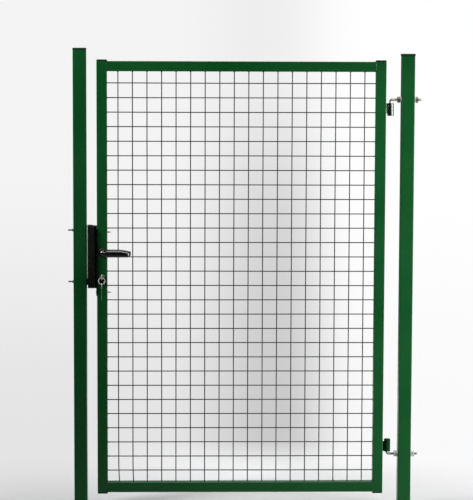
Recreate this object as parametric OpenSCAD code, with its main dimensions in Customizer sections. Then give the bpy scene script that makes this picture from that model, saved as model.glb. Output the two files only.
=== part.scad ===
// Mesh garden gate: one welded-mesh leaf hung on hook bolts between two square steel posts,
// with a lever lock in the latch stile and a keeper housing on the latch post.
// Millimetres, +Z up. The origin is the centre of the hinge post's foot, the leaf lies
// towards -X, and the side with the key in it faces -Y.

/* [Posts] */
// Width of a post, both ways
post_w = 45; // [40:1:60]
// Wall of the post tube
post_wall = 2; // [1.5:0.5:3]
// Height of the latch post with its cap
latch_post_h = 1600; // [1590:1:1700]
// Height of the hinge post with its cap
hinge_post_h = 1583; // [1575:1:1700]

/* [Leaf] */
// Width of the leaf over its stiles
leaf_w = 996; // [896:50:1096]
// Height of the leaf over its stile tubes
leaf_h = 1500; // [1500:1:1510]
// Ground to the lower end of the stile tubes
leaf_lift = 55; // [50:1:60]
// Width of the leaf's square tube
frame_w = 35; // [34:1:38]
// Wall of the leaf's tube
frame_wall = 2; // [1.5:0.5:3]
// Gap from the latch post to the leaf
latch_gap = 36; // [35:1:40]
// Gap from the leaf to the hinge post
hinge_gap = 53; // [50:1:60]

/* [Mesh] */
// Distance from wire to wire
mesh_pitch = 50; // [45:1:50]
// Diameter of a mesh wire
wire_d = 3.5; // [2.8:0.1:4.5]

/* [Hinges] */
// Height of the upper hook bolt
upper_hook_z = 1425; // [1400:1:1450]
// Height of the lower hook bolt
lower_hook_z = 188; // [170:1:220]
// Diameter of the hook bolts
hook_d = 10; // [8:1:12]
// Leaf edge to the hinge axis
axis_offset = 16.5; // [15:0.5:20]
// Length of a hinge eye
eye_len = 44; // [36:1:50]

/* [Lock] */
// Height of the handle spindle
spindle_z = 898; // [890:1:905]
// Spindle to cylinder distance
lock_centres = 85; // [80:1:90]
// Length of a lever from its spindle
lever_len = 98; // [90:1:120]
// Stile face to the outside of a lever
lever_reach = 33; // [30:1:50]

/* [Hidden] */
$fn = 48;
CUT = 1;                  // how far a cutting tool runs past a face

// Where things stand along X
leaf_x1 = -post_w / 2 - hinge_gap;
leaf_x0 = leaf_x1 - leaf_w;
latch_post_x = leaf_x0 - latch_gap - post_w / 2;
latch_face_x = leaf_x0 - latch_gap;
hinge_x = leaf_x1 + axis_offset;
lock_x = leaf_x0 + frame_w / 2;
leaf_top = leaf_lift + leaf_h;
face_y = frame_w / 2;

// Tubes and caps
post_round = 3;
frame_round = 2.5;
foot_t = 3;
post_cap_t = 6;
frame_cap_t = 5.5;
cap_overhang = 1;
plug_len = 12;

// Welded mesh: 18 upright and 28 level wires
upright_count = 18;
level_count = 28;
half_levels = level_count / 2;
wire_bite = 0.4;          // how deep the wires are pressed into each other
mesh_x0 = (leaf_x0 + leaf_x1 - (upright_count - 1) * mesh_pitch) / 2;
mesh_z0 = leaf_lift + (leaf_h - (level_count - 1) * mesh_pitch) / 2;
mesh_split_z = mesh_z0 + (half_levels - 0.5) * mesh_pitch;

// Hook bolts, nuts and washers
bend_r = 6;
hook_tip = 25;            // thread past the post
pin_slack = 0.1;
thread_slack = 0.15;
nut_af = 1.7 * hook_d;
nut_t = 8.4;
washer_d = 24;
washer_t = 2.5;
spring_washer_d = 18;
spring_washer_t = 2.5;
eye_d = 22;
eye_gap = 5.5;            // bend to eye, at the upper hook
eye_seat = 2;             // the same, at the lower hook
lug_t = 8;
lug_h = 34.5;
lug_low = 1;              // foot of the barrel to the foot of its lug
pin_short = 4;

// Keeper on the latch post
keeper_z0 = 774;
keeper_z1 = 990;
bolts_mid_z = 883.5;
keeper_front_y = -31.5;
keeper_back_y = 32;
stop_y = face_y + 5;
stop_overlap = 7;
stop_short = 3;           // the stop ends this far below the housing's top
stop_low = 6;             // and starts this far below its foot
stop_tongues = [[925, 60], [836, 40]];  // foot and height of each tongue behind the leaf
plate_t = 5;
plate_w = 40;
plate_low = 10;           // the plate ends this far above the housing's foot
block_w = 22.5;
bolt_centres = 179;
bolt_d = 6;
bolt_tip = 19;
bolt_head_d = 10;
bolt_head_t = 6;
keeper_nut_t = 5;
keeper_nut_af = 10;

// Lock in the latch stile
forend_t = 3;
forend_w = 22;
forend_z0 = 745;
forend_z1 = 980;
case_t = 16;
case_depth = 26;
case_margin = 18;
spindle_hole_d = 18;
follower_d = 12;
latch_mouth = [940, 22];  // centre height and height of the latch bolt
bolt_mouth = [850, 34];   // the same for the lock bolt
mouth_slack = 4;
screw_d = 5;
screw_out = 13;
screw_inset = [12, 14];   // lower and upper screw, from the forend's ends
cylinder_z = spindle_z - lock_centres;
cylinder_half = 27;
plug_r = 8.5;
leg_w = 10;
leg_h = 33;
spindle_side = 8;
rose_d = 28;
rose_t = 7;

// Levers
neck_r = 9;
lever_h = 17;
lever_t = 12;
lever_drop = 6.3;         // the blade hangs this far below the spindle
lever_in = lever_reach - lever_t;

// Keys
bow_r = 11;
key_t = 2;
bow_hole_r = 2.5;
bow_hole_off = 5.5;       // bow centre to its hole
blade_w = 8;
blade_len = 40;
inserted_len = 26;
bow_gap = 5;              // cylinder face to the bow
ring_r = 11;
ring_wire_r = 1;
ring_slack = 0.15;
key_hole_y = -cylinder_half - bow_gap - bow_r - bow_hole_off;
ring_top_z = cylinder_z - bow_hole_r + ring_wire_r + ring_slack;
ring_z = ring_top_z - ring_r;
spare_hole_z = ring_z - ring_r - bow_hole_r + ring_wire_r + ring_slack;

// ---- shared shapes ----

// A square with round corners, exact
module round_square(side, r) {
    square([side - 2 * r, side], center = true);
    square([side, side - 2 * r], center = true);
    for (x = [-1, 1], y = [-1, 1])
        translate([x * (side / 2 - r), y * (side / 2 - r)]) circle(r);
}

// Square tube along +Z
module square_tube(side, wall, r, length) {
    linear_extrude(length) difference() {
        round_square(side, r);
        round_square(side - 2 * wall, max(r - wall, 0.5));
    }
}

// Cylinder along X from x0 to x1
module bar_x(x0, x1, d) {
    translate([x0, 0, 0]) rotate([0, 90, 0]) cylinder(h = x1 - x0, d = d);
}

// Cylinder along Y from y0 to y1
module bar_y(y0, y1, d) {
    translate([0, y0, 0]) rotate([-90, 0, 0]) cylinder(h = y1 - y0, d = d);
}

// Hexagon nut on the X axis, one flat side up
module nut_x(x0, x1, across_flats, bore_d) {
    difference() {
        translate([x0, 0, 0]) rotate([0, 90, 0])
            cylinder(h = x1 - x0, d = across_flats / cos(30), $fn = 6);
        bar_x(x0 - CUT, x1 + CUT, bore_d);
    }
}

// Ring on the X axis
module ring_x(x0, x1, outer_d, bore_d) {
    difference() {
        bar_x(x0, x1, outer_d);
        bar_x(x0 - CUT, x1 + CUT, bore_d);
    }
}

// Push-in tube cap: cover plate and plug, cover upwards
module tube_cap(side, wall, r, cover_t) {
    linear_extrude(cover_t) round_square(side + cap_overhang, r);
    translate([0, 0, -plug_len]) linear_extrude(plug_len + 0.5)
        round_square(side - 2 * wall - 0.4, 0.5);
}

// ---- posts ----

module post_body(height) {
    square_tube(post_w, post_wall, post_round, height - post_cap_t);
    linear_extrude(foot_t) round_square(post_w, post_round);
}

module latch_post() {
    color([0.03, 0.27, 0.11]) difference() {
        translate([latch_post_x, 0, 0]) post_body(latch_post_h);
        for (side = [-1, 1])
            translate([0, 0, bolts_mid_z + side * bolt_centres / 2])
                bar_x(latch_face_x - post_w - CUT, latch_face_x + CUT, bolt_d + 0.6);
    }
}

module hinge_post() {
    color([0.03, 0.30, 0.12]) difference() {
        post_body(hinge_post_h);
        for (z = [lower_hook_z, upper_hook_z])
            translate([0, 0, z]) bar_x(-post_w / 2 - CUT, post_w / 2 + CUT, hook_d + 0.6);
    }
}

module latch_post_cap() {
    color([0.10, 0.12, 0.09]) translate([latch_post_x, 0, latch_post_h - post_cap_t])
        tube_cap(post_w, post_wall, post_round, post_cap_t);
}

module hinge_post_cap() {
    color([0.10, 0.12, 0.09]) translate([0, 0, hinge_post_h - post_cap_t])
        tube_cap(post_w, post_wall, post_round, post_cap_t);
}

// ---- keeper ----

block_x0 = latch_face_x + plate_t;
block_x1 = block_x0 + block_w;
back_x1 = leaf_x0 - forend_t;

module keeper_bolt_holes(d) {
    for (side = [-1, 1])
        translate([0, 0, bolts_mid_z + side * bolt_centres / 2])
            bar_x(latch_face_x - CUT, block_x1 + CUT, d);
}

module strike_plate() {
    color([0.52, 0.60, 0.55]) difference() {
        translate([latch_face_x, -plate_w / 2, keeper_z0 + plate_low])
            cube([plate_t, plate_w, keeper_z1 - keeper_z0 - plate_low]);
        keeper_bolt_holes(bolt_d + 0.6);
    }
}

// Pocket for a lock or latch bolt, from the side of the leaf
module bolt_pocket(mouth) {
    pocket_w = 16;
    pocket_depth = 15;
    translate([block_x1 - pocket_depth, -pocket_w / 2, mouth[0] - mouth[1] / 2 - mouth_slack])
        cube([pocket_depth + CUT, pocket_w, mouth[1] + 2 * mouth_slack]);
}

// Front outline of the housing: the top falls a little towards the leaf
module keeper_outline() {
    top_fall = 3;
    fall_run = 13;
    polygon([[block_x0, keeper_z0], [block_x1, keeper_z0], [block_x1, keeper_z1 - top_fall],
             [block_x1 - fall_run, keeper_z1], [block_x0, keeper_z1]]);
}

module keeper_housing() {
    color([0.06, 0.065, 0.06]) difference() {
        translate([0, stop_y, 0]) rotate([90, 0, 0])
            linear_extrude(stop_y - keeper_front_y) keeper_outline();
        keeper_bolt_holes(bolt_d + 0.6);
        for (side = [-1, 1])
            translate([0, 0, bolts_mid_z + side * bolt_centres / 2])
                bar_x(block_x1 - bolt_head_t - 2, block_x1 + CUT, bolt_head_d + 1);
        bolt_pocket(latch_mouth);
        bolt_pocket(bolt_mouth);
    }
}

// Wall on the back of the housing, with two tongues that the leaf closes against
module keeper_stop() {
    stop_t = keeper_back_y - stop_y;
    color([0.06, 0.065, 0.06]) {
        translate([block_x0, stop_y, keeper_z0 - stop_low])
            cube([back_x1 - block_x0, stop_t, keeper_z1 - keeper_z0 + stop_low - stop_short]);
        for (tongue = stop_tongues)
            translate([block_x0, stop_y, tongue[0]])
                cube([leaf_x0 + stop_overlap - block_x0, stop_t, tongue[1]]);
    }
}

module keeper_bolts() {
    color([0.55, 0.56, 0.55]) for (side = [-1, 1])
        translate([0, 0, bolts_mid_z + side * bolt_centres / 2]) {
            bar_x(latch_face_x - post_w - bolt_tip, block_x1 - bolt_head_t, bolt_d);
            bar_x(block_x1 - bolt_head_t - 1.9, block_x1 - 1.9, bolt_head_d);
        }
}

module keeper_nuts() {
    color([0.35, 0.36, 0.35]) for (side = [-1, 1])
        translate([0, 0, bolts_mid_z + side * bolt_centres / 2])
            nut_x(latch_face_x - post_w - keeper_nut_t, latch_face_x - post_w,
                  keeper_nut_af, bolt_d + 2 * thread_slack);
}

// ---- hinges ----

// Hook bolt: the pin points along dir (1 up, -1 down), the thread runs to +X
module hook_bolt(pin_len, dir) {
    turned_over = dir > 0 ? 0 : 1;
    translate([hinge_x, 0, 0]) mirror([0, 0, turned_over]) {
        translate([0, 0, bend_r]) cylinder(h = pin_len, d = hook_d);
        translate([bend_r, 0, bend_r]) rotate([90, 0, 0]) rotate([0, 0, 180])
            rotate_extrude(angle = 90) translate([bend_r, 0]) circle(d = hook_d);
    }
    bar_x(hinge_x + bend_r, post_w / 2 + hook_tip, hook_d);
}

module upper_hinge_hook() {
    color([0.60, 0.60, 0.58]) translate([0, 0, upper_hook_z])
        hook_bolt(eye_gap + eye_len - pin_short, -1);
}

module lower_hinge_hook() {
    color([0.60, 0.60, 0.58]) translate([0, 0, lower_hook_z])
        hook_bolt(eye_seat + eye_len - pin_short, 1);
}

// A nut on each side of the post, outside the washers
module hook_nuts() {
    stack = washer_t + spring_washer_t;
    bore = hook_d + 2 * thread_slack;
    nut_x(post_w / 2 + stack, post_w / 2 + stack + nut_t, nut_af, bore);
    nut_x(-post_w / 2 - stack - nut_t, -post_w / 2 - stack, nut_af, bore);
}

// A washer and a spring washer on each side of the post
module hook_washers() {
    bore = hook_d + 2 * thread_slack;
    for (side = [0, 1]) mirror([side, 0, 0]) {
        ring_x(post_w / 2, post_w / 2 + washer_t, washer_d, bore);
        ring_x(post_w / 2 + washer_t, post_w / 2 + washer_t + spring_washer_t,
               spring_washer_d, bore);
    }
}

module upper_hook_nuts() {
    color([0.45, 0.45, 0.43]) translate([0, 0, upper_hook_z]) hook_nuts();
}

module lower_hook_nuts() {
    color([0.45, 0.45, 0.43]) translate([0, 0, lower_hook_z]) hook_nuts();
}

module upper_hook_washers() {
    color([0.55, 0.55, 0.52]) translate([0, 0, upper_hook_z]) hook_washers();
}

module lower_hook_washers() {
    color([0.55, 0.55, 0.52]) translate([0, 0, lower_hook_z]) hook_washers();
}

// Hinge eye: a bored barrel and the lug that is welded to the stile
module hinge_eye() {
    difference() {
        union() {
            cylinder(h = eye_len, d = eye_d);
            translate([-axis_offset, -lug_t / 2, lug_low])
                cube([axis_offset, lug_t, lug_h]);
        }
        translate([0, 0, -CUT]) cylinder(h = eye_len + 2 * CUT, r = hook_d / 2 + pin_slack);
    }
}

module upper_hinge_eye() {
    color([0.02, 0.14, 0.06]) translate([hinge_x, 0, upper_hook_z - bend_r - eye_gap])
        mirror([0, 0, 1]) hinge_eye();
}

module lower_hinge_eye() {
    color([0.02, 0.14, 0.06]) translate([hinge_x, 0, lower_hook_z + bend_r + eye_seat])
        hinge_eye();
}

// ---- leaf frame ----

// Outline of the lock cylinder, its round part on the origin, grown by extra
module profile_outline(extra) {
    circle(plug_r + extra);
    translate([-leg_w / 2 - extra, -(leg_h - plug_r) - extra])
        square([leg_w + 2 * extra, leg_h - plug_r + extra]);
}

// The lock cylinder's shape through the whole stile
module profile_hole(extra) {
    translate([lock_x, face_y + CUT, cylinder_z]) rotate([90, 0, 0])
        linear_extrude(frame_w + 2 * CUT) profile_outline(extra);
}

module latch_stile() {
    color([0.03, 0.27, 0.11]) difference() {
        translate([lock_x, 0, leaf_lift]) square_tube(frame_w, frame_wall, frame_round, leaf_h);
        translate([leaf_x0 - CUT, -case_t / 2 - 0.5, forend_z0 + case_margin - 1])
            cube([frame_wall + 2 * CUT, case_t + 1,
                  forend_z1 - forend_z0 - 2 * case_margin + 2]);
        translate([lock_x, 0, spindle_z]) bar_y(-face_y - CUT, face_y + CUT, spindle_hole_d);
        profile_hole(0.5);
        for (z = lock_screw_z)
            translate([0, 0, z]) bar_x(leaf_x0 - CUT, leaf_x0 + frame_w + CUT, screw_d + 0.4);
    }
}

module hinge_stile() {
    color([0.03, 0.30, 0.12]) translate([leaf_x1 - frame_w / 2, 0, leaf_lift])
        square_tube(frame_w, frame_wall, frame_round, leaf_h);
}

module rail(z) {
    translate([leaf_x0 + frame_w, 0, z]) rotate([0, 90, 0])
        square_tube(frame_w, frame_wall, frame_round, leaf_w - 2 * frame_w);
}

module top_rail() { color([0.03, 0.29, 0.12]) rail(leaf_top - frame_w / 2); }
module bottom_rail() { color([0.10, 0.28, 0.14]) rail(leaf_lift + frame_w / 2); }

module stile_caps(x) {
    translate([x, 0, leaf_top]) tube_cap(frame_w - cap_overhang, frame_wall - cap_overhang / 2,
                                         frame_round, frame_cap_t);
    translate([x, 0, leaf_lift]) mirror([0, 0, 1])
        tube_cap(frame_w - cap_overhang, frame_wall - cap_overhang / 2, frame_round, frame_cap_t);
}

module latch_stile_caps() { color([0.16, 0.15, 0.11]) stile_caps(lock_x); }
module hinge_stile_caps() { color([0.16, 0.15, 0.11]) stile_caps(leaf_x1 - frame_w / 2); }

// ---- mesh ----

// Half of the mesh, from the first of its level wires, between two heights
module mesh_half(first_level, z0, z1) {
    color([0.09, 0.16, 0.12]) {
        for (i = [0 : upright_count - 1])
            translate([mesh_x0 + i * mesh_pitch - wire_d / 2, -wire_d + wire_bite / 2, z0])
                cube([wire_d, wire_d, z1 - z0]);
        for (k = [0 : half_levels - 1])
            translate([leaf_x0 + frame_w, -wire_bite / 2,
                       mesh_z0 + (first_level + k) * mesh_pitch - wire_d / 2])
                cube([leaf_w - 2 * frame_w, wire_d, wire_d]);
    }
}

module mesh_lower() { mesh_half(0, leaf_lift + frame_w, mesh_split_z); }
module mesh_upper() { mesh_half(half_levels, mesh_split_z, leaf_top - frame_w); }

// ---- lock ----

lock_screw_z = [forend_z0 + screw_inset[0], forend_z1 - screw_inset[1]];

module bolt_noses(extra, x0, x1) {
    nose_w = 11;
    for (m = [latch_mouth, bolt_mouth])
        translate([x0, -nose_w / 2 - extra, m[0] - m[1] / 2 - extra])
            cube([x1 - x0, nose_w + 2 * extra, m[1] + 2 * extra]);
}

module lock_forend() {
    color([0.09, 0.10, 0.08]) difference() {
        translate([leaf_x0 - forend_t, -forend_w / 2, forend_z0])
            cube([forend_t, forend_w, forend_z1 - forend_z0]);
        bolt_noses(0.5, leaf_x0 - forend_t - CUT, leaf_x0 + CUT);
        for (z = lock_screw_z)
            translate([0, 0, z]) bar_x(leaf_x0 - forend_t - CUT, leaf_x0 + CUT, screw_d + 0.4);
    }
}

module lock_case() {
    color([0.60, 0.60, 0.58]) difference() {
        translate([leaf_x0, -case_t / 2, forend_z0 + case_margin])
            cube([case_depth + 2, case_t, forend_z1 - forend_z0 - 2 * case_margin]);
        translate([lock_x, 0, spindle_z]) bar_y(-case_t, case_t, follower_d);
        profile_hole(0.5);
    }
}

// Latch bolt and lock bolt, both drawn back: short noses just proud of the forend
module lock_bolts() {
    color([0.70, 0.70, 0.68]) bolt_noses(0, leaf_x0 - forend_t - 1.5, leaf_x0);
}

// Two long screws from the forend through the stile
module lock_screws() {
    head_d = 9;
    head_t = 1.6;
    color([0.55, 0.55, 0.52]) for (z = lock_screw_z) translate([0, 0, z]) {
        bar_x(leaf_x0 - forend_t, leaf_x0 + frame_w + screw_out, screw_d);
        bar_x(leaf_x0 - forend_t - head_t, leaf_x0 - forend_t, head_d);
    }
}

module rose(side) {
    translate([lock_x, 0, spindle_z]) mirror([0, side, 0]) difference() {
        bar_y(face_y, face_y + rose_t, rose_d);
        bar_y(face_y - CUT, face_y + rose_t + CUT, 2 * neck_r + 1);
    }
}

module front_rose() { color([0.04, 0.04, 0.04]) rose(1); }
module back_rose() { color([0.04, 0.04, 0.04]) rose(0); }

module lock_cylinder() {
    color([0.75, 0.74, 0.70]) difference() {
        translate([lock_x, cylinder_half, cylinder_z]) rotate([90, 0, 0])
            linear_extrude(2 * cylinder_half) profile_outline(0);
        translate([lock_x - key_t / 2 - 0.2, -cylinder_half - CUT, cylinder_z - blade_w / 2 - 0.2])
            cube([key_t + 0.4, inserted_len + CUT + 1, blade_w + 0.4]);
    }
}

// Key in the YZ plane: bow centre on the origin, blade along +Y, hole at -Y
module key_shape(blade) {
    difference() {
        union() {
            bar_x(-key_t / 2, key_t / 2, 2 * bow_r);
            translate([-key_t / 2, 0, -blade_w / 2]) cube([key_t, bow_r + blade, blade_w]);
        }
        translate([0, -bow_hole_off, 0]) bar_x(-key_t, key_t, 2 * bow_hole_r);
    }
}

module key() {
    color([0.72, 0.72, 0.68]) translate([lock_x, -cylinder_half - bow_gap - bow_r, cylinder_z])
        key_shape(bow_gap + inserted_len);
}

module key_ring() {
    color([0.85, 0.85, 0.82]) translate([lock_x, key_hole_y, ring_z]) rotate([90, 0, 0])
        rotate_extrude() translate([ring_r, 0]) circle(ring_wire_r);
}

module spare_key() {
    color([0.45, 0.55, 0.48]) translate([lock_x, key_hole_y, spare_hole_z - bow_hole_off])
        rotate([-90, 0, 0]) key_shape(blade_len);
}

// ---- handle ----

// Lever seen from the front, spindle on the origin: level underside, top falling to the tip
module lever_front_outline() {
    half = lever_h / 2;
    tip_r = 3;
    straight = 0.5 * lever_len;
    fall = 7.5;
    steps = 8;
    circle(neck_r);
    translate([0, -lever_drop]) {
        circle(half);
        polygon(concat([[0, -half], [lever_len - tip_r, -half], [lever_len, -half + tip_r]],
                       [for (i = [steps : -1 : 0]) let (t = i / steps)
                           [straight + t * (lever_len - straight), half - fall * t * t]],
                       [[0, half]]));
    }
}

// Lever seen from above: the neck comes out of the rose and turns along the leaf
module lever_plan_outline() {
    translate([-neck_r, face_y + 1]) square([2 * neck_r, lever_reach - 1 - neck_r]);
    translate([0, face_y + lever_reach - neck_r]) circle(neck_r);
    translate([0, face_y + lever_in]) square([lever_len, lever_t]);
}

module lever() {
    translate([lock_x, 0, spindle_z]) intersection() {
        rotate([90, 0, 0]) translate([0, 0, -face_y - lever_reach - CUT])
            linear_extrude(lever_reach + face_y) lever_front_outline();
        translate([0, 0, -lever_h]) linear_extrude(2 * lever_h) lever_plan_outline();
        union() {
            bar_y(0, face_y + lever_in - 4, 2 * neck_r);
            translate([-lever_h, face_y + lever_in - 8, -lever_h])
                cube([lever_len + 2 * lever_h, lever_t + 20, 2 * lever_h]);
        }
    }
}

module back_lever() { color([0.03, 0.03, 0.03]) lever(); }
module front_lever() { color([0.03, 0.03, 0.03]) mirror([0, 1, 0]) lever(); }

module lever_spindle() {
    length = 2 * (face_y + 1);
    color([0.55, 0.55, 0.52]) translate([lock_x - spindle_side / 2, -length / 2,
                                         spindle_z - spindle_side / 2])
        cube([spindle_side, length, spindle_side]);
}

latch_post();
hinge_post();
latch_post_cap();
hinge_post_cap();
strike_plate();
keeper_housing();
keeper_stop();
keeper_bolts();
keeper_nuts();
upper_hinge_hook();
lower_hinge_hook();
upper_hook_nuts();
lower_hook_nuts();
upper_hook_washers();
lower_hook_washers();
latch_stile();
hinge_stile();
top_rail();
bottom_rail();
latch_stile_caps();
hinge_stile_caps();
mesh_upper();
mesh_lower();
upper_hinge_eye();
lower_hinge_eye();
lock_forend();
lock_case();
lock_bolts();
lock_screws();
front_rose();
back_rose();
lock_cylinder();
key();
front_lever();
back_lever();
lever_spindle();
key_ring();
spare_key();
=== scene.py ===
"""The mesh garden gate as it looks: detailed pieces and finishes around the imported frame.

The leaf of welded mesh hangs on two hook bolts between square posts, with a lever lock in its
latch stile and a keeper on the latch post. Everything is in metres, +Z up, and the side with
the keys faces -Y."""
import logging
import random
from dataclasses import dataclass, field, replace
from enum import Enum
from math import atan2, ceil, cos, pi, radians, sin, tan
from typing import Callable, Iterable, Sequence

import bmesh
import bpy
from bmesh.types import BMEdge
from mathutils import Matrix, Vector


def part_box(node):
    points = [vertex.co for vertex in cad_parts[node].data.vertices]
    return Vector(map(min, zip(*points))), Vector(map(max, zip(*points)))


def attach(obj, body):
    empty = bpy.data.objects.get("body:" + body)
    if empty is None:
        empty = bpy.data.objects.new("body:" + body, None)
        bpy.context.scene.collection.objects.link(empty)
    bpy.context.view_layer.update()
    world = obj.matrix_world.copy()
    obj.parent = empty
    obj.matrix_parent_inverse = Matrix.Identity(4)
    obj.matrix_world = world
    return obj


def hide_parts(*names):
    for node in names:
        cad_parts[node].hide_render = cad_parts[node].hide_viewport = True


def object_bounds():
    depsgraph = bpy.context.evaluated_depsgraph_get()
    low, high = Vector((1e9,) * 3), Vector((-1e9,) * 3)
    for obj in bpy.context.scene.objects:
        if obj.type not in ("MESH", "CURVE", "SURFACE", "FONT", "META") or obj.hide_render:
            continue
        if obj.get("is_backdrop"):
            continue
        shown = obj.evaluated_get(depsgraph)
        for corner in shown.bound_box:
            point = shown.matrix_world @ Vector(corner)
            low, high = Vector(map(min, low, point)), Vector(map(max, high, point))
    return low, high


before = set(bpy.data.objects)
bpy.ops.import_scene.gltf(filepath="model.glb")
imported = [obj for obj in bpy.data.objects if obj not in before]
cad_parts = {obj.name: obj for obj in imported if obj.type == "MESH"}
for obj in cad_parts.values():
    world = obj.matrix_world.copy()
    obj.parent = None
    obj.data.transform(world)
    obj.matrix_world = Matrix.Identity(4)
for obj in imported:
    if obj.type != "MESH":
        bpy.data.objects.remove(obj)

log = logging.getLogger("gate")

MM = 0.001
Triple = tuple[float, float, float]
Colour = Triple
Profile = Sequence[tuple[float, float]]
ByAngle = Callable[[float], float]


class Body(Enum):
    """The bodies that pieces ride on."""

    POSTS = "posts"
    LEAF = "leaf"
    HANDLE = "handle"
    KEYS = "keys"


class Level(Enum):
    """The two hinges, as their CAD nodes are named."""

    UPPER = "upper"
    LOWER = "lower"


class Axis(Enum):
    """Directions along which a shape that was made along +Z is laid."""

    X = (1.0, 0.0, 0.0)
    MINUS_X = (-1.0, 0.0, 0.0)
    Y = (0.0, 1.0, 0.0)
    MINUS_Y = (0.0, -1.0, 0.0)

    def at(self, place: Vector) -> Matrix:
        """The matrix that stands a shape at a place, with its +Z along this axis."""
        turn = Vector((0.0, 0.0, 1.0)).rotation_difference(Vector(self.value))
        return Matrix.Translation(place) @ turn.to_matrix().to_4x4()


@dataclass(frozen=True)
class Box:
    """The rest box of a CAD node or of a group of them."""

    low: Vector
    high: Vector

    @classmethod
    def of(cls, *nodes: str) -> "Box":
        """The box that holds CAD nodes.

        Args:
            nodes: Their names.
        Returns:
            The box.
        """
        corners = [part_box(node) for node in nodes]
        low = Vector(min(pair[0][i] for pair in corners) for i in range(3))
        high = Vector(max(pair[1][i] for pair in corners) for i in range(3))
        return cls(low, high)

    @property
    def centre(self) -> Vector:
        """The middle of the box."""
        return (self.low + self.high) / 2

    @property
    def size(self) -> Vector:
        """The box's lengths along X, Y and Z."""
        return self.high - self.low


# ---------------------------------------------------------------------------
# Shapes
# ---------------------------------------------------------------------------


@dataclass(frozen=True)
class Section:
    """One cross-section of a lofted shape.

    Attributes:
        place: Where the section stands; the loft runs along its +Z.
        half_width: Half the size along the section's X.
        half_height: Half the size along the section's Y.
        power: 2 for an ellipse, more for a squarer one.
    """

    place: Matrix
    half_width: float
    half_height: float
    power: float = 2.0

    def point(self, angle: float) -> Vector:
        """The section's outline point at an angle.

        Args:
            angle: The angle round the section, in radians.
        Returns:
            The point.
        """
        c, s = cos(angle), sin(angle)
        reach = (abs(c) ** self.power + abs(s) ** self.power) ** (-1 / self.power)
        return self.place @ Vector((c * reach * self.half_width, s * reach * self.half_height, 0.0))


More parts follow.
